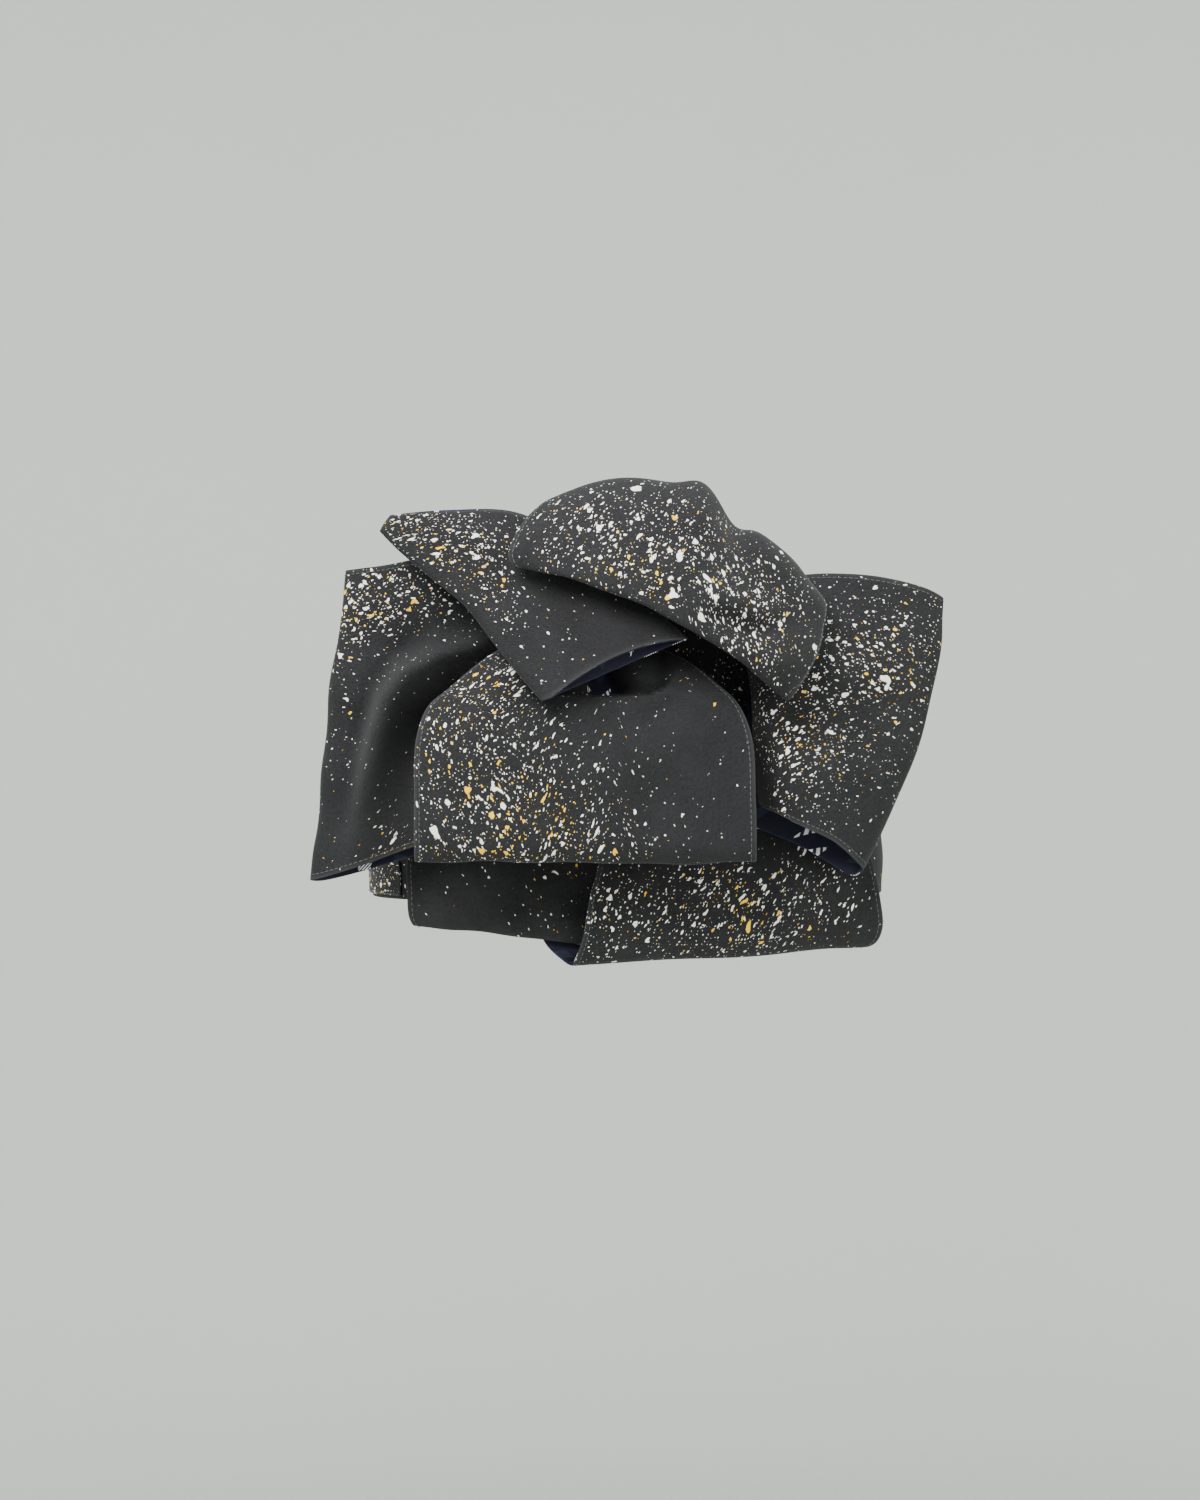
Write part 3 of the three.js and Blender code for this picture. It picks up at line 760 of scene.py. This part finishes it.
def colour_property(name, description, value):
    """One colour that a user may change."""
    return bpy.props.FloatVectorProperty(name=name, description=description, default=value,
                                         size=3, subtype="COLOR", min=0.0, max=1.0)


def number_property(name, description, value, low, high=1000.0, **kind):
    """One size or strength that a user may change."""
    return bpy.props.FloatProperty(name=name, description=description, default=value,
                                   min=low, max=high, **kind)


class ObiColours(bpy.types.PropertyGroup):
    """Colours of the cloths, the drops and the thread."""

    charcoal_dark: colour_property("Charcoal, dark", "Dark threads of the face", (0.0028, 0.0028, 0.0033))
    charcoal_light: colour_property("Charcoal, light", "Light threads of the face", (0.015, 0.015, 0.0165))
    # Paler colour of the face in a thin band along its edges
    pale_edge: colour_property("Pale edge", "Face cloth along its pressed edges", (0.055, 0.055, 0.055))
    drop_white: colour_property("White drops", "Thick thrown colour", (0.86, 0.85, 0.80))
    drop_cream: colour_property("Cream drops", "Thin thrown colour", (0.70, 0.66, 0.52))
    drop_gold: colour_property("Gold drops", "Darker yellow drops", (0.80, 0.45, 0.008))
    drop_yellow: colour_property("Yellow drops", "Brighter yellow drops", (0.92, 0.68, 0.018))
    lining_navy: colour_property("Lining", "Navy ground of the lining", (0.0018, 0.0026, 0.011))
    lining_blue: colour_property("Lining, blue", "Blue squares of the lining", (0.022, 0.028, 0.055))
    lining_white: colour_property("Lining, white", "Hatched squares of the lining", (0.75, 0.77, 0.80))
    thread: colour_property("Thread", "Topstitching thread", (0.075, 0.075, 0.08))


class ObiCloth(bpy.types.PropertyGroup):
    """How finely the cloth is made, and how much it ripples."""

    cell: number_property("Cell", "Size of the cloth's mesh cells", 0.0019, 0.0008, 0.01, unit="LENGTH")
    ripple: number_property("Ripple", "Height of the soft uneven waves", 0.0009, 0.0, 0.003, unit="LENGTH")
    seed: bpy.props.IntProperty(name="Seed", description="Changes the waves", default=4)


class ObiStage(bpy.types.PropertyGroup):
    """The plain room round the sash."""

    wall: colour_property("Wall", "Colour of floor and backdrop", (0.66, 0.68, 0.65))
    floor_drop: number_property("Floor", "Floor below the waist", 1.0, 0.3, unit="LENGTH")
    room_radius: number_property("Room radius", "Middle of the room to its round wall", 2.7, 2.0,
                                 unit="LENGTH")
    key: number_property("Key light", "Power of the large light", 120.0, 0.0)
    fill: number_property("Fill light", "Power of the soft lights", 26.0, 0.0)


# ---------------------------------------------------------------------------------------
# Pieces
# ---------------------------------------------------------------------------------------

def soften(grid, side, seed, amount=1.0, wave=70.0):
    """The grid with the cloth's soft waves on it, none at its edges."""
    settings = bpy.context.scene.obi_cloth
    along, across = lengths(grid)
    inside = smooth(np.minimum(across, across[:, -1:] - across), 0, 25)
    height = ripple(along, across, settings.seed + seed, wave, settings.ripple / MM * amount)
    return grid + normals(grid, side) * (height * inside)[..., None]


def paint(grid, front, spatter, yellow, coarse, behind=0.35, few=0.0):
    """Attributes that place the drops: from tables of soft spots on the side that shows
    from behind the wearer, and an even share with slow waves elsewhere."""
    along, across = lengths(grid)
    waves = 0.5 + 0.5 * np.tanh(ripple(along, across, 77, 120.0, 1.6))
    shown = np.clip(few + spots(grid, spatter), 0, 1)
    heavy = front * shown + (1 - front) * behind * waves
    gold = front * np.clip(0.06 + 0.7 * spots(grid, yellow), 0, 0.6) + (1 - front) * 0.12
    large = front * np.clip(spots(grid, coarse), 0, 1) + (1 - front) * 0.05 * waves
    return {"spatter": heavy, "yellow": gold, "coarse": large}


def lined(name, node, grid, side, attributes, seed):
    """Face cloth and lining of one stretch: two thin sheets, the lining just under the
    face cloth."""
    face, lining = finish_of("face"), finish_of("lining")
    outer = wall(name, grid, side, SINGLE_CLOTH, paint=attributes, finishes=[face, lining], seed=seed)
    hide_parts(node)
    inner = wall(name + "_lining", grid, side, LINING_CLOTH, depth=LINING_DEPTH,
                 finishes=[lining], seed=seed + 1)
    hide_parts(node + "_lining")


def double(name, node, grid, side, attributes, seed):
    """Stretch whose lining lies on its face cloth: one sheet, charcoal outside and navy
    inside."""
    finishes = [finish_of("face"), finish_of("lining")]
    piece = wall(name, grid, side, DOUBLE_CLOTH, paint=attributes, finishes=finishes, seed=seed)
    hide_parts(node)


def fold(grid, side, folds, seed=None, amount=1.0, extra=0.0, front=None):
    """The grid with its folds: the sum of its creases and of any extra height, pushed out
    towards the back of the wearer where the outer side faces there, over soft waves."""
    front = fronting(grid, side) if front is None else front
    height = sum((crease(grid, row["line"], row["left"], row["right"]) for row in folds), extra)
    grid = grid if seed is None else soften(grid, side, seed, amount)
    grid[..., 1] -= height * front
    return grid


# Folds of each stretch: the widths of the bell to the left and right of a line of points
# (x, z, height), in the order that the line runs. A height below 0 is a trough.

# The pleat that arches from the knot and runs down to the open edge, the groove outside
# it, the deep hollow on its inner side, and two soft swells.
WING_LEFT_FOLDS = table(
    "left right line",
    (15, 9, [(-62, 60, 6), (-84, 52, 17), (-104, 46.5, 22), (-120, 38, 24), (-131, 24, 23),
             (-137, 6, 20), (-141, -14, 15), (-146, -40, 9), (-151, -68, 3)]),
    (5, 5, [(-112, 62, -1), (-128, 50, -2.5), (-141, 30, -4), (-148, 5, -4.5),
            (-152, -20, -4), (-155, -45, -1.5)]),
    (14, 14, [(-70, 36, -10), (-92, 30, -15), (-110, 16, -13), (-118, -6, -6)]),
    (12, 12, [(-150, 82, 2), (-128, 74, 2.5), (-100, 78, 1.5)]),
    (7, 7, [(-166, 10, 1.5), (-171, -40, 2)]),
)

# Shallow drag folds from the knot
WING_RIGHT_FOLDS = table(
    "left right line",
    (10, 10, [(88, 60, 3), (120, 40, 2.5), (150, 36, 0.5)]),
    (9, 9, [(84, 30, -2), (110, 22, -2.5), (142, 20, -0.5)]),
    (11, 11, [(86, -6, 2.5), (108, -14, 2), (134, -20, 0.5)]),
    (12, 12, [(120, 90, -1.5), (126, 60, -1.5)]),
)

# Soft folds down from the lip
DRUM_FLAP_FOLDS = table(
    "left right line",
    (12, 12, [(24, 34, 2.5), (36, 20, 2.0), (46, -6, 0.5)]),
    (9, 9, [(-44, 22, -2.0), (-50, 4, -1.5), (-54, -22, -0.4)]),
    (12, 12, [(-66, 34, 2.0), (-80, 12, 1.6), (-88, -20, 0.4)]),
    (8, 8, [(52, 10, -1.2), (56, -25, -1.2), (54, -55, -0.6)]),
)

# Crumpled folds near the lower right corner, and long soft ones elsewhere
KNOT_COVER_FOLDS = table(
    "left right line",
    (5.5, 5.5, [(48, 66, -5), (66, 60, -6), (86, 64, -2)]),
    (8, 8, [(46, 76, 2.5), (70, 70, 3), (92, 72, 1)]),
    (7, 7, [(52, 124, -3), (60, 108, -2), (70, 92, -0.5)]),
    (13, 13, [(-50, 112, 1.5), (-20, 108, 2), (14, 96, 1)]),
    (9, 9, [(64, 48, 4), (80, 42, 4), (94, 44, 1)]),
)

HAND_END_FOLDS = table(
    "left right line",
    (10, 10, [(-112, 112, -1.5), (-72, 92, -2.0), (-30, 66, -0.8)]),
    (9, 9, [(-60, 66, 1.2), (-40, 48, 1.2), (-28, 38, 0.4)]),
)

TAIL_LEFT_FOLDS = table(
    "left right line",
    (10, 10, [(-96, -66, 1.6), (-92, -84, 1.2), (-96, -100, 0.3)]),
    (6, 6, [(-84, -62, -2.0), (-80, -80, -1.0), (-82, -96, -0.3)]),
    (10, 10, [(-30, -70, 1.0), (-50, -98, 1.2)]),
)

TAIL_RIGHT_FOLDS = table(
    "left right line",
    (8, 8, [(0, -104, 1.5), (46, -108, 1.8), (100, -104, 1.0)]),
    (7, 7, [(20, -92, -1.0), (64, -94, -1.5), (110, -90, -0.6)]),
)

# The flap's lip: its height z at these places x, and the step back above it to the pocket
LIP_X = (-46, -38, -12, 12, 20, 27)
LIP_Z = (24, 24.2, 25.2, 25.6, 29, 38)
LIP_STEP = 15


def oval_bell(x, z, half_width, half_height):
    """1 at the middle of an oval spot, with x and z measured from it, fading outwards."""
    return np.exp(-((x / half_width) ** 2) - ((z / half_height) ** 2))


def drum_flap_grid(step):
    """Hanging flap: a rolled lip, and behind it a pocket that is deepest in a hole at the
    left, where the deeper cloth bulges out at the right."""
    grid = strip(DRUM_FLAP, "left", "right", step)
    x, z = grid[..., 0], grid[..., 2]
    lip = np.interp(x, LIP_X, LIP_Z)
    inside = smooth(x, -47, -36) * (1 - smooth(x, 17, 27))
    above = smooth(z, lip - 0.4, lip + 1.6) * inside
    bulge, hole = oval_bell(x - 7, z - 37, 15, 11), oval_bell(x + 13, z - 33, 9, 12)
    pocket = above * (-LIP_STEP + 16 * bulge - 14 * hole) * (1 - smooth(z, 44, 56))
    roll = inside * 3.0 * np.exp(-(((z - lip + 4) / 7) ** 2)) * (1 - above)
    return fold(grid, 1, DRUM_FLAP_FOLDS, 3, extra=pocket + roll)


def knot_cover_grid(step):
    """Band over the top of the knot, with a peak on its crest and a step down beside it."""
    grid = strip(KNOT_COVER, "left", "right", step)
    x, crest = grid[..., 0], smooth(grid[..., 2], 84, 122)
    front = fronting(grid, 1)
    peak, notch = np.exp(-(((x - 41) / 12) ** 2)), np.exp(-(((x - 59) / 9) ** 2))
    raised = grid + np.stack([0 * x, 0 * x, crest * (7 * peak - 7.5 * notch)], axis=2)
    return fold(raised, 1, KNOT_COVER_FOLDS, 4, front=front)


def ease_ring(grid):
    """Waist ring with the shallow level folds of a band drawn tight: the same on each
    layer, so that the layers stay apart."""
    angle = np.arctan2(grid[..., 1], grid[..., 0])
    z = grid[..., 2]
    swell = (0.9 * np.sin(z / 17 + 2 * np.sin(angle)) + 0.6 * np.sin(z / 9 - 3 * np.cos(angle + 0.6)))
    fade = smooth(BAND_HALF - np.abs(z), 2, 30)
    outward = unit(grid * np.array([1, 1, 0]))
    return grid + outward * (swell * fade - 0.4)[..., None]


def knot_core_mesh():
    """Gathered cloth inside the knot: oval sections stacked up, their outline pleated by
    a cosine of the angle that drifts with height, closed by a flat cap at each end."""
    middle_x, middle_y, pleats, pleat_depth = 18, -113.5, 9, 0.05
    z = column(KNOT_CORE, "z")[:, 0]
    level = np.linspace(z[0], z[-1], 60)[:, None]
    width = np.interp(level, z, column(KNOT_CORE, "half_width")[:, 0])
    depth = np.interp(level, z, column(KNOT_CORE, "half_depth")[:, 0])
    turn = np.linspace(0, 2 * math.pi, 240, endpoint=False)[None, :]
    drift = level / 26 + 0.6 * np.sin(level / 15)
    pleat = 1 - pleat_depth * (1 + np.cos(pleats * turn + drift))
    share = (level - level.mean()) / (z[-1] - z[0]) * 2
    close = np.sqrt(np.clip(1 - share ** 8, 0.02, 1))
    x = middle_x + width * pleat * close * np.cos(turn)
    y = middle_y + depth * pleat * close * np.sin(turn)
    points = np.stack([x, y, np.repeat(level, turn.size, axis=1)], axis=2)
    index = np.arange(points.shape[0] * points.shape[1]).reshape(points.shape[:2])
    looped = np.concatenate([index, index[:, :1]], axis=1)
    low, high = index.size, index.size + 1
    around = np.arange(0, turn.size, 2)
    centre = np.full(around.shape, 1)
    foot = [looped[0, around], centre * low, looped[0, around + 2], looped[0, around + 1]]
    head = [looped[-1, around], looped[-1, around + 1], looped[-1, around + 2], centre * high]
    ends = [[middle_x, middle_y, z[0]], [middle_x, middle_y, z[-1]]]
    everywhere = np.concatenate([points.reshape(-1, 3), ends])
    faces = np.concatenate([quads(looped)[:, ::-1], np.stack(foot, axis=1), np.stack(head, axis=1)])
    mesh = make_mesh("knot_core_cloth", everywhere * MM, faces)
    cloth = np.stack([everywhere[:, 2], everywhere[:, 0] + everywhere[:, 1],
                      0 * everywhere[:, 0] + 900], axis=1)
    add_attribute(mesh, "cloth", cloth * MM)
    for key, value in (("hem", 0.0), ("spatter", 0.3), ("yellow", 0.1), ("coarse", 0.0)):
        add_attribute(mesh, key, np.full(len(everywhere), value))
    mesh.materials.append(finish_of("face"))
    return mesh


# Stitches of the pieces made so far, which the topstitching sews as one mesh
STITCHES = []


class OBI_OT_waist(bpy.types.Operator):
    """Winds the band twice round the waist"""

    bl_idname = "obi.waist"
    bl_label = "Waist wraps"

    def execute(self, context):
        step = context.scene.obi_cloth.cell / MM * RING_CELL_SHARE
        start, end = OVER_WRAP
        low, high = -BAND_HALF, BAND_HALF - WRAP_SHIFT
        under = ease_ring(ring(DOUBLE_CLOTH + SEAM_GAP, low, high, start, start + 360, step))
        dots = {"spatter": 0.55 * ring_waves(under, 5), "yellow": 0.12 + 0 * under[..., 0],
                "coarse": 0.25 * ring_waves(under, 9)}
        inner = wall("waist_wrap_under_cloth", under, -1, SINGLE_CLOTH, closed=True, paint=dots,
                     finishes=[finish_of("face")], seed=11)
        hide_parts("waist_wrap_under")
        lining = wall("waist_wrap_lining_cloth", under, -1, SINGLE_CLOTH, depth=SINGLE_CLOTH + SEAM_GAP,
                      closed=True, finishes=[finish_of("lining")], seed=12)
        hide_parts("waist_wrap_lining")
        over = ease_ring(ring(0, low + WRAP_SHIFT, BAND_HALF, start, end, step))
        heavy = 0.85 * ring_waves(over, 6)
        near_end = smooth(-over[..., 0], 95, 128) * smooth(-over[..., 1], -40, 20)
        heavy = np.maximum(heavy, 0.8 * near_end)
        dots = {"spatter": heavy, "yellow": 0.12 + 0.25 * ring_waves(over, 15),
                "coarse": 0.3 * ring_waves(over, 3)}
        double("waist_wrap_over_cloth", "waist_wrap_over", over, -1, dots, 13)
        for edge in (0, -1):
            STITCHES.append(stitch_line(over, -1, edge))
        return {"FINISHED"}


def ring_waves(grid, seed):
    """Slow waves from 0 to 1 round the waist and up the band, which place its drops."""
    around = np.arctan2(grid[..., 1], grid[..., 0])
    return 0.5 + 0.5 * np.sin(around * 3 + seed + 0.6 * np.sin(grid[..., 2] / 40 + seed * 2.1))


class OBI_OT_tails(bpy.types.Operator):
    """Hangs the two tails under the knot"""

    bl_idname = "obi.tails"
    bl_label = "Tails"

    def execute(self, context):
        step = context.scene.obi_cloth.cell / MM
        left = fold(strip(TAIL_LEFT, "left", "right", step), 1, TAIL_LEFT_FOLDS, 5, 0.7)
        dots = paint(left, fronting(left, 1),
                     [(-20, -72, 30, 14, 0, 0.30), (-48, -104, 18, 8, 0, 0.22), (-60, -80, 30, 16, 0, 0.10)],
                     [(-30, -92, 14, 14, 0, 0.7)],
                     [(-28, -70, 10, 6, 0, 0.9), (-76, -70, 7, 5, 0, 0.9), (-30, -92, 8, 8, 0, 0.5)])
        double("tail_left_cloth", "tail_left", left, 1, dots, 21)
        STITCHES.append(stitch_line(left, 1, 0))
        right = fold(strip(TAIL_RIGHT, "left", "right", step), 1, TAIL_RIGHT_FOLDS, 6, 0.8)
        dots = paint(right, fronting(right, 1),
                     [(30, -90, 60, 34, 0, 0.85), (90, -92, 40, 30, 0, 0.75), (-18, -96, 18, 30, 0, 0.35)],
                     [(62, -96, 12, 16, 0, 0.6), (108, -108, 14, 10, 0, 0.4), (70, -76, 30, 8, 0, 0.25)],
                     [(0, -88, 14, 10, 0, 0.6), (60, -92, 16, 14, 0, 0.7), (100, -90, 30, 20, 0, 0.25)])
        lined("tail_right_cloth", "tail_right", right, 1, dots, 23)
        STITCHES.append(stitch_line(right, 1, 0, 0.0, 0.55))
        STITCHES.append(stitch_line(right, 1, -1, 0.0, 1.0))
        return {"FINISHED"}


class OBI_OT_wings(bpy.types.Operator):
    """Opens the two loops of the bow"""

    bl_idname = "obi.wings"
    bl_label = "Bow loops"

    def execute(self, context):
        step = context.scene.obi_cloth.cell / MM
        left = fold(strip(WING_LEFT, "top", "bottom", step), 1, WING_LEFT_FOLDS, 1)
        dots = paint(left, fronting(left, 1),
                     [(-140, 84, 30, 22, 0, 0.9), (-108, 84, 34, 18, 0, 0.85), (-160, 40, 14, 44, 3, 0.35),
                      (-128, -52, 14, 16, 0, 0.5), (-150, 60, 22, 26, 0, 0.35), (-166, -10, 8, 44, 3, 0.14)],
                     [(-140, 78, 30, 20, 0, 0.25), (-132, -42, 8, 8, 0, 0.5)],
                     [(-150, 90, 14, 12, 0, 0.25), (-118, 74, 20, 10, 0, 0.2)], few=0.03)
        lined("wing_left_cloth", "wing_left", left, 1, dots, 31)
        for edge in (0, -1):
            STITCHES.append(stitch_line(left, 1, edge))
        right = fold(strip(WING_RIGHT, "top", "bottom", step), -1, WING_RIGHT_FOLDS, 2)
        dots = paint(right, fronting(right, -1),
                     [(120, 40, 60, 44, 0, 0.9), (150, 60, 30, 30, 0, 0.3), (92, -8, 26, 30, 0, 0.75),
                      (120, -20, 30, 22, 0, 0.35)],
                     [(150, 40, 16, 22, 0, 0.55), (96, 4, 20, 10, 0, 0.35), (112, -4, 12, 6, 0, 0.4),
                      (90, 30, 12, 12, 0, 0.3)],
                     [(150, 40, 20, 24, 0, 0.5), (100, 60, 30, 20, 0, 0.15), (118, 0, 24, 14, 0, 0.25)],
                     few=0.03)
        lined("wing_right_cloth", "wing_right", right, -1, dots, 37)
        for edge in (0, -1):
            STITCHES.append(stitch_line(right, -1, edge))
        return {"FINISHED"}


class OBI_OT_knot(bpy.types.Operator):
    """Gathers the knot and wraps its cover over it"""

    bl_idname = "obi.knot"
    bl_label = "Knot and cover"

    def execute(self, context):
        core = show("knot_core_cloth", knot_core_mesh())
        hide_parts("knot_core")
        step = context.scene.obi_cloth.cell / MM
        cover = knot_cover_grid(step)
        dots = paint(cover, fronting(cover, 1),
                     [(-10, 112, 54, 30, -14, 0.85), (36, 92, 46, 30, -30, 0.85), (66, 56, 28, 26, -30, 0.95),
                      (92, 84, 22, 26, 0, 0.25)],
                     [(2, 92, 26, 14, -20, 0.45), (18, 70, 12, 10, 0, 0.5), (84, 50, 14, 14, 0, 0.4),
                      (52, 112, 12, 10, 0, 0.3)],
                     [(-44, 106, 16, 14, 0, 0.9), (20, 88, 40, 26, -20, 0.75), (10, 124, 30, 12, 0, 0.35),
                      (56, 78, 26, 18, 0, 0.35)], few=0.03)
        double("knot_cover_cloth", "knot_cover", cover, 1, dots, 41)
        for edge in (0, -1):
            STITCHES.append(stitch_line(cover, 1, edge, 0.0, 0.93))
        return {"FINISHED"}


class OBI_OT_flap(bpy.types.Operator):
    """Hangs the flap over the knot"""

    bl_idname = "obi.flap"
    bl_label = "Hanging flap"

    def execute(self, context):
        step = context.scene.obi_cloth.cell / MM
        flap = drum_flap_grid(step)
        dots = paint(flap, fronting(flap, 1),
                     [(-76, 14, 32, 36, 30, 0.9), (-66, -28, 40, 34, 0, 0.9), (-60, -56, 50, 14, 0, 0.75),
                      (-102, -20, 12, 40, 0, 0.3), (-16, -30, 34, 34, 0, 0.30), (-4, -54, 40, 16, 0, 0.22),
                      (-60, 44, 20, 14, 0, 0.5)],
                     [(-36, -34, 14, 12, 0, 0.65), (-63, -44, 16, 12, 0, 0.55), (-88, -22, 18, 20, 0, 0.3),
                      (-98, 16, 14, 16, 40, 0.45), (-78, 34, 14, 12, 30, 0.4), (-50, -58, 36, 8, 0, 0.4)],
                     [(-92, 10, 16, 20, 0, 0.8), (-50, -20, 18, 20, 0, 0.7), (-64, -42, 26, 14, 0, 0.6),
                      (-106, -30, 8, 40, 0, 0.8), (-60, 28, 14, 10, 0, 0.4)], few=0.035)
        double("drum_flap_cloth", "drum_flap", flap, 1, dots, 51)
        for edge in (0, -1):
            STITCHES.append(stitch_line(flap, 1, edge, 0.0, 1.0))
        return {"FINISHED"}


class OBI_OT_hand_end(bpy.types.Operator):
    """Lays the folded free end over the flap"""

    bl_idname = "obi.hand_end"
    bl_label = "Free end"

    def execute(self, context):
        step = context.scene.obi_cloth.cell / MM
        free = fold(folded_strip(HAND_END, step), -1, HAND_END_FOLDS)
        dots = paint(free, fronting(free, -1),
                     [(-112, 116, 34, 16, -10, 0.95), (-84, 96, 34, 14, -42, 0.8), (-66, 112, 30, 14, 0, 0.5),
                      (-70, 72, 18, 12, -42, 0.35)],
                     [(-100, 100, 18, 10, -40, 0.5), (-84, 86, 12, 8, 0, 0.5)],
                     [(-96, 94, 12, 8, 0, 0.5), (-110, 114, 20, 8, 0, 0.15)], few=0.06)
        lined("hand_end_cloth", "hand_end", free, -1, dots, 61)
        return {"FINISHED"}


class OBI_OT_topstitching(bpy.types.Operator):
    """Sews, as one mesh, the topstitching that the pieces made so far laid beside their long edges"""

    bl_idname = "obi.topstitching"
    bl_label = "Topstitching"

    def execute(self, context):
        mesh = stitch_mesh("topstitching", STITCHES)
        mesh.materials.append(finish_of("thread"))
        piece = show("topstitching", mesh)
        return {"FINISHED"}


class OBI_OT_stage(bpy.types.Operator):
    """Makes the camera, the round room and its lights"""

    bl_idname = "obi.stage"
    bl_label = "Stage"

    def execute(self, context):
        settings = context.scene.obi_stage
        camera = bpy.data.objects.new("camera", bpy.data.cameras.new("camera"))
        context.scene.collection.objects.link(camera)
        camera.location = (-0.015, -1.7, -0.004)
        camera.rotation_euler = (math.radians(90), 0, 0)
        camera.data.lens = 68.4
        camera.data.sensor_width = 36.0
        context.scene.camera = camera
        room = bpy.data.objects.new("room", room_mesh(settings))
        room.data.materials.append(wall_finish(tuple(settings.wall)))
        context.scene.collection.objects.link(room)
        self.light("key", (-0.9, -1.7, 1.5), 1.3, settings.key)
        self.light("fill", (1.5, -1.5, 0.5), 1.2, settings.fill)
        self.light("top", (0.0, -0.3, 1.7), 1.4, settings.fill * 1.1)
        world = bpy.data.worlds.new("soft_room")
        context.scene.world = world
        world.use_nodes = True
        world.node_tree.nodes["Background"].inputs[0].default_value = (0.93, 0.96, 1.0, 1)
        world.node_tree.nodes["Background"].inputs[1].default_value = 0.4
        return {"FINISHED"}

    def light(self, name, place, size, power):
        """Large square light that faces the sash."""
        lamp = bpy.data.lights.new(name, "AREA")
        lamp.size = size
        lamp.energy = power
        shown = bpy.data.objects.new(name, lamp)
        shown.location = place
        aim = -shown.location
        shown.rotation_euler = aim.to_track_quat("-Z", "Y").to_euler()
        bpy.context.scene.collection.objects.link(shown)


def room_mesh(settings):
    """Round room: a floor, a quarter-circle cove and a wall, turned about the middle."""
    cove, wall_top, columns = 0.6, 3.4, 97
    turn = np.linspace(0, math.pi / 2, 13)
    curved = settings.room_radius - cove + cove * np.sin(turn)
    radius = np.concatenate([[0.001, 1.0], curved, [settings.room_radius]])
    height = np.concatenate([[0, 0], cove * (1 - np.cos(turn)), [wall_top]]) - settings.floor_drop
    around = np.linspace(0, 2 * math.pi, columns)[:, None]
    points = np.stack([radius * np.cos(around), radius * np.sin(around),
                       np.repeat(height[None], columns, axis=0)], axis=2)
    index = np.arange(points.shape[0] * points.shape[1]).reshape(points.shape[:2])
    return make_mesh("room", points.reshape(-1, 3), quads(index)[:, ::-1])


class OBI_PT_panel(bpy.types.Panel):
    """Lists the sash's pieces and settings"""

    bl_idname = "OBI_PT_panel"
    bl_label = "Obi Sash"
    bl_space_type = "VIEW_3D"
    bl_region_type = "UI"
    bl_category = "Obi Sash"

    def draw(self, context):
        for operator in OPERATORS:
            self.layout.operator(operator.bl_idname)
        for group in ("obi_cloth", "obi_colours", "obi_stage"):
            settings = getattr(context.scene, group)
            box = self.layout.box()
            for name in settings.__annotations__:
                box.prop(settings, name)


OPERATORS = (OBI_OT_stage, OBI_OT_waist, OBI_OT_tails, OBI_OT_wings, OBI_OT_knot, OBI_OT_flap,
             OBI_OT_hand_end, OBI_OT_topstitching)
GROUPS = {"obi_cloth": ObiCloth, "obi_colours": ObiColours, "obi_stage": ObiStage}


def register():
    for group in GROUPS.values():
        bpy.utils.register_class(group)
    for operator in OPERATORS:
        bpy.utils.register_class(operator)
    bpy.utils.register_class(OBI_PT_panel)
    for name, group in GROUPS.items():
        setattr(bpy.types.Scene, name, bpy.props.PointerProperty(type=group))


def unregister():
    for name in GROUPS:
        delattr(bpy.types.Scene, name)
    bpy.utils.unregister_class(OBI_PT_panel)
    for operator in reversed(OPERATORS):
        bpy.utils.unregister_class(operator)
    for group in GROUPS.values():
        bpy.utils.unregister_class(group)


def main():
    register()
    STITCHES.clear()
    bpy.ops.obi.stage()
    bpy.ops.obi.waist()
    bpy.ops.obi.tails()
    bpy.ops.obi.wings()
    bpy.ops.obi.knot()
    bpy.ops.obi.flap()
    bpy.ops.obi.hand_end()
    bpy.ops.obi.topstitching()


if __name__ == "__main__":
    main()
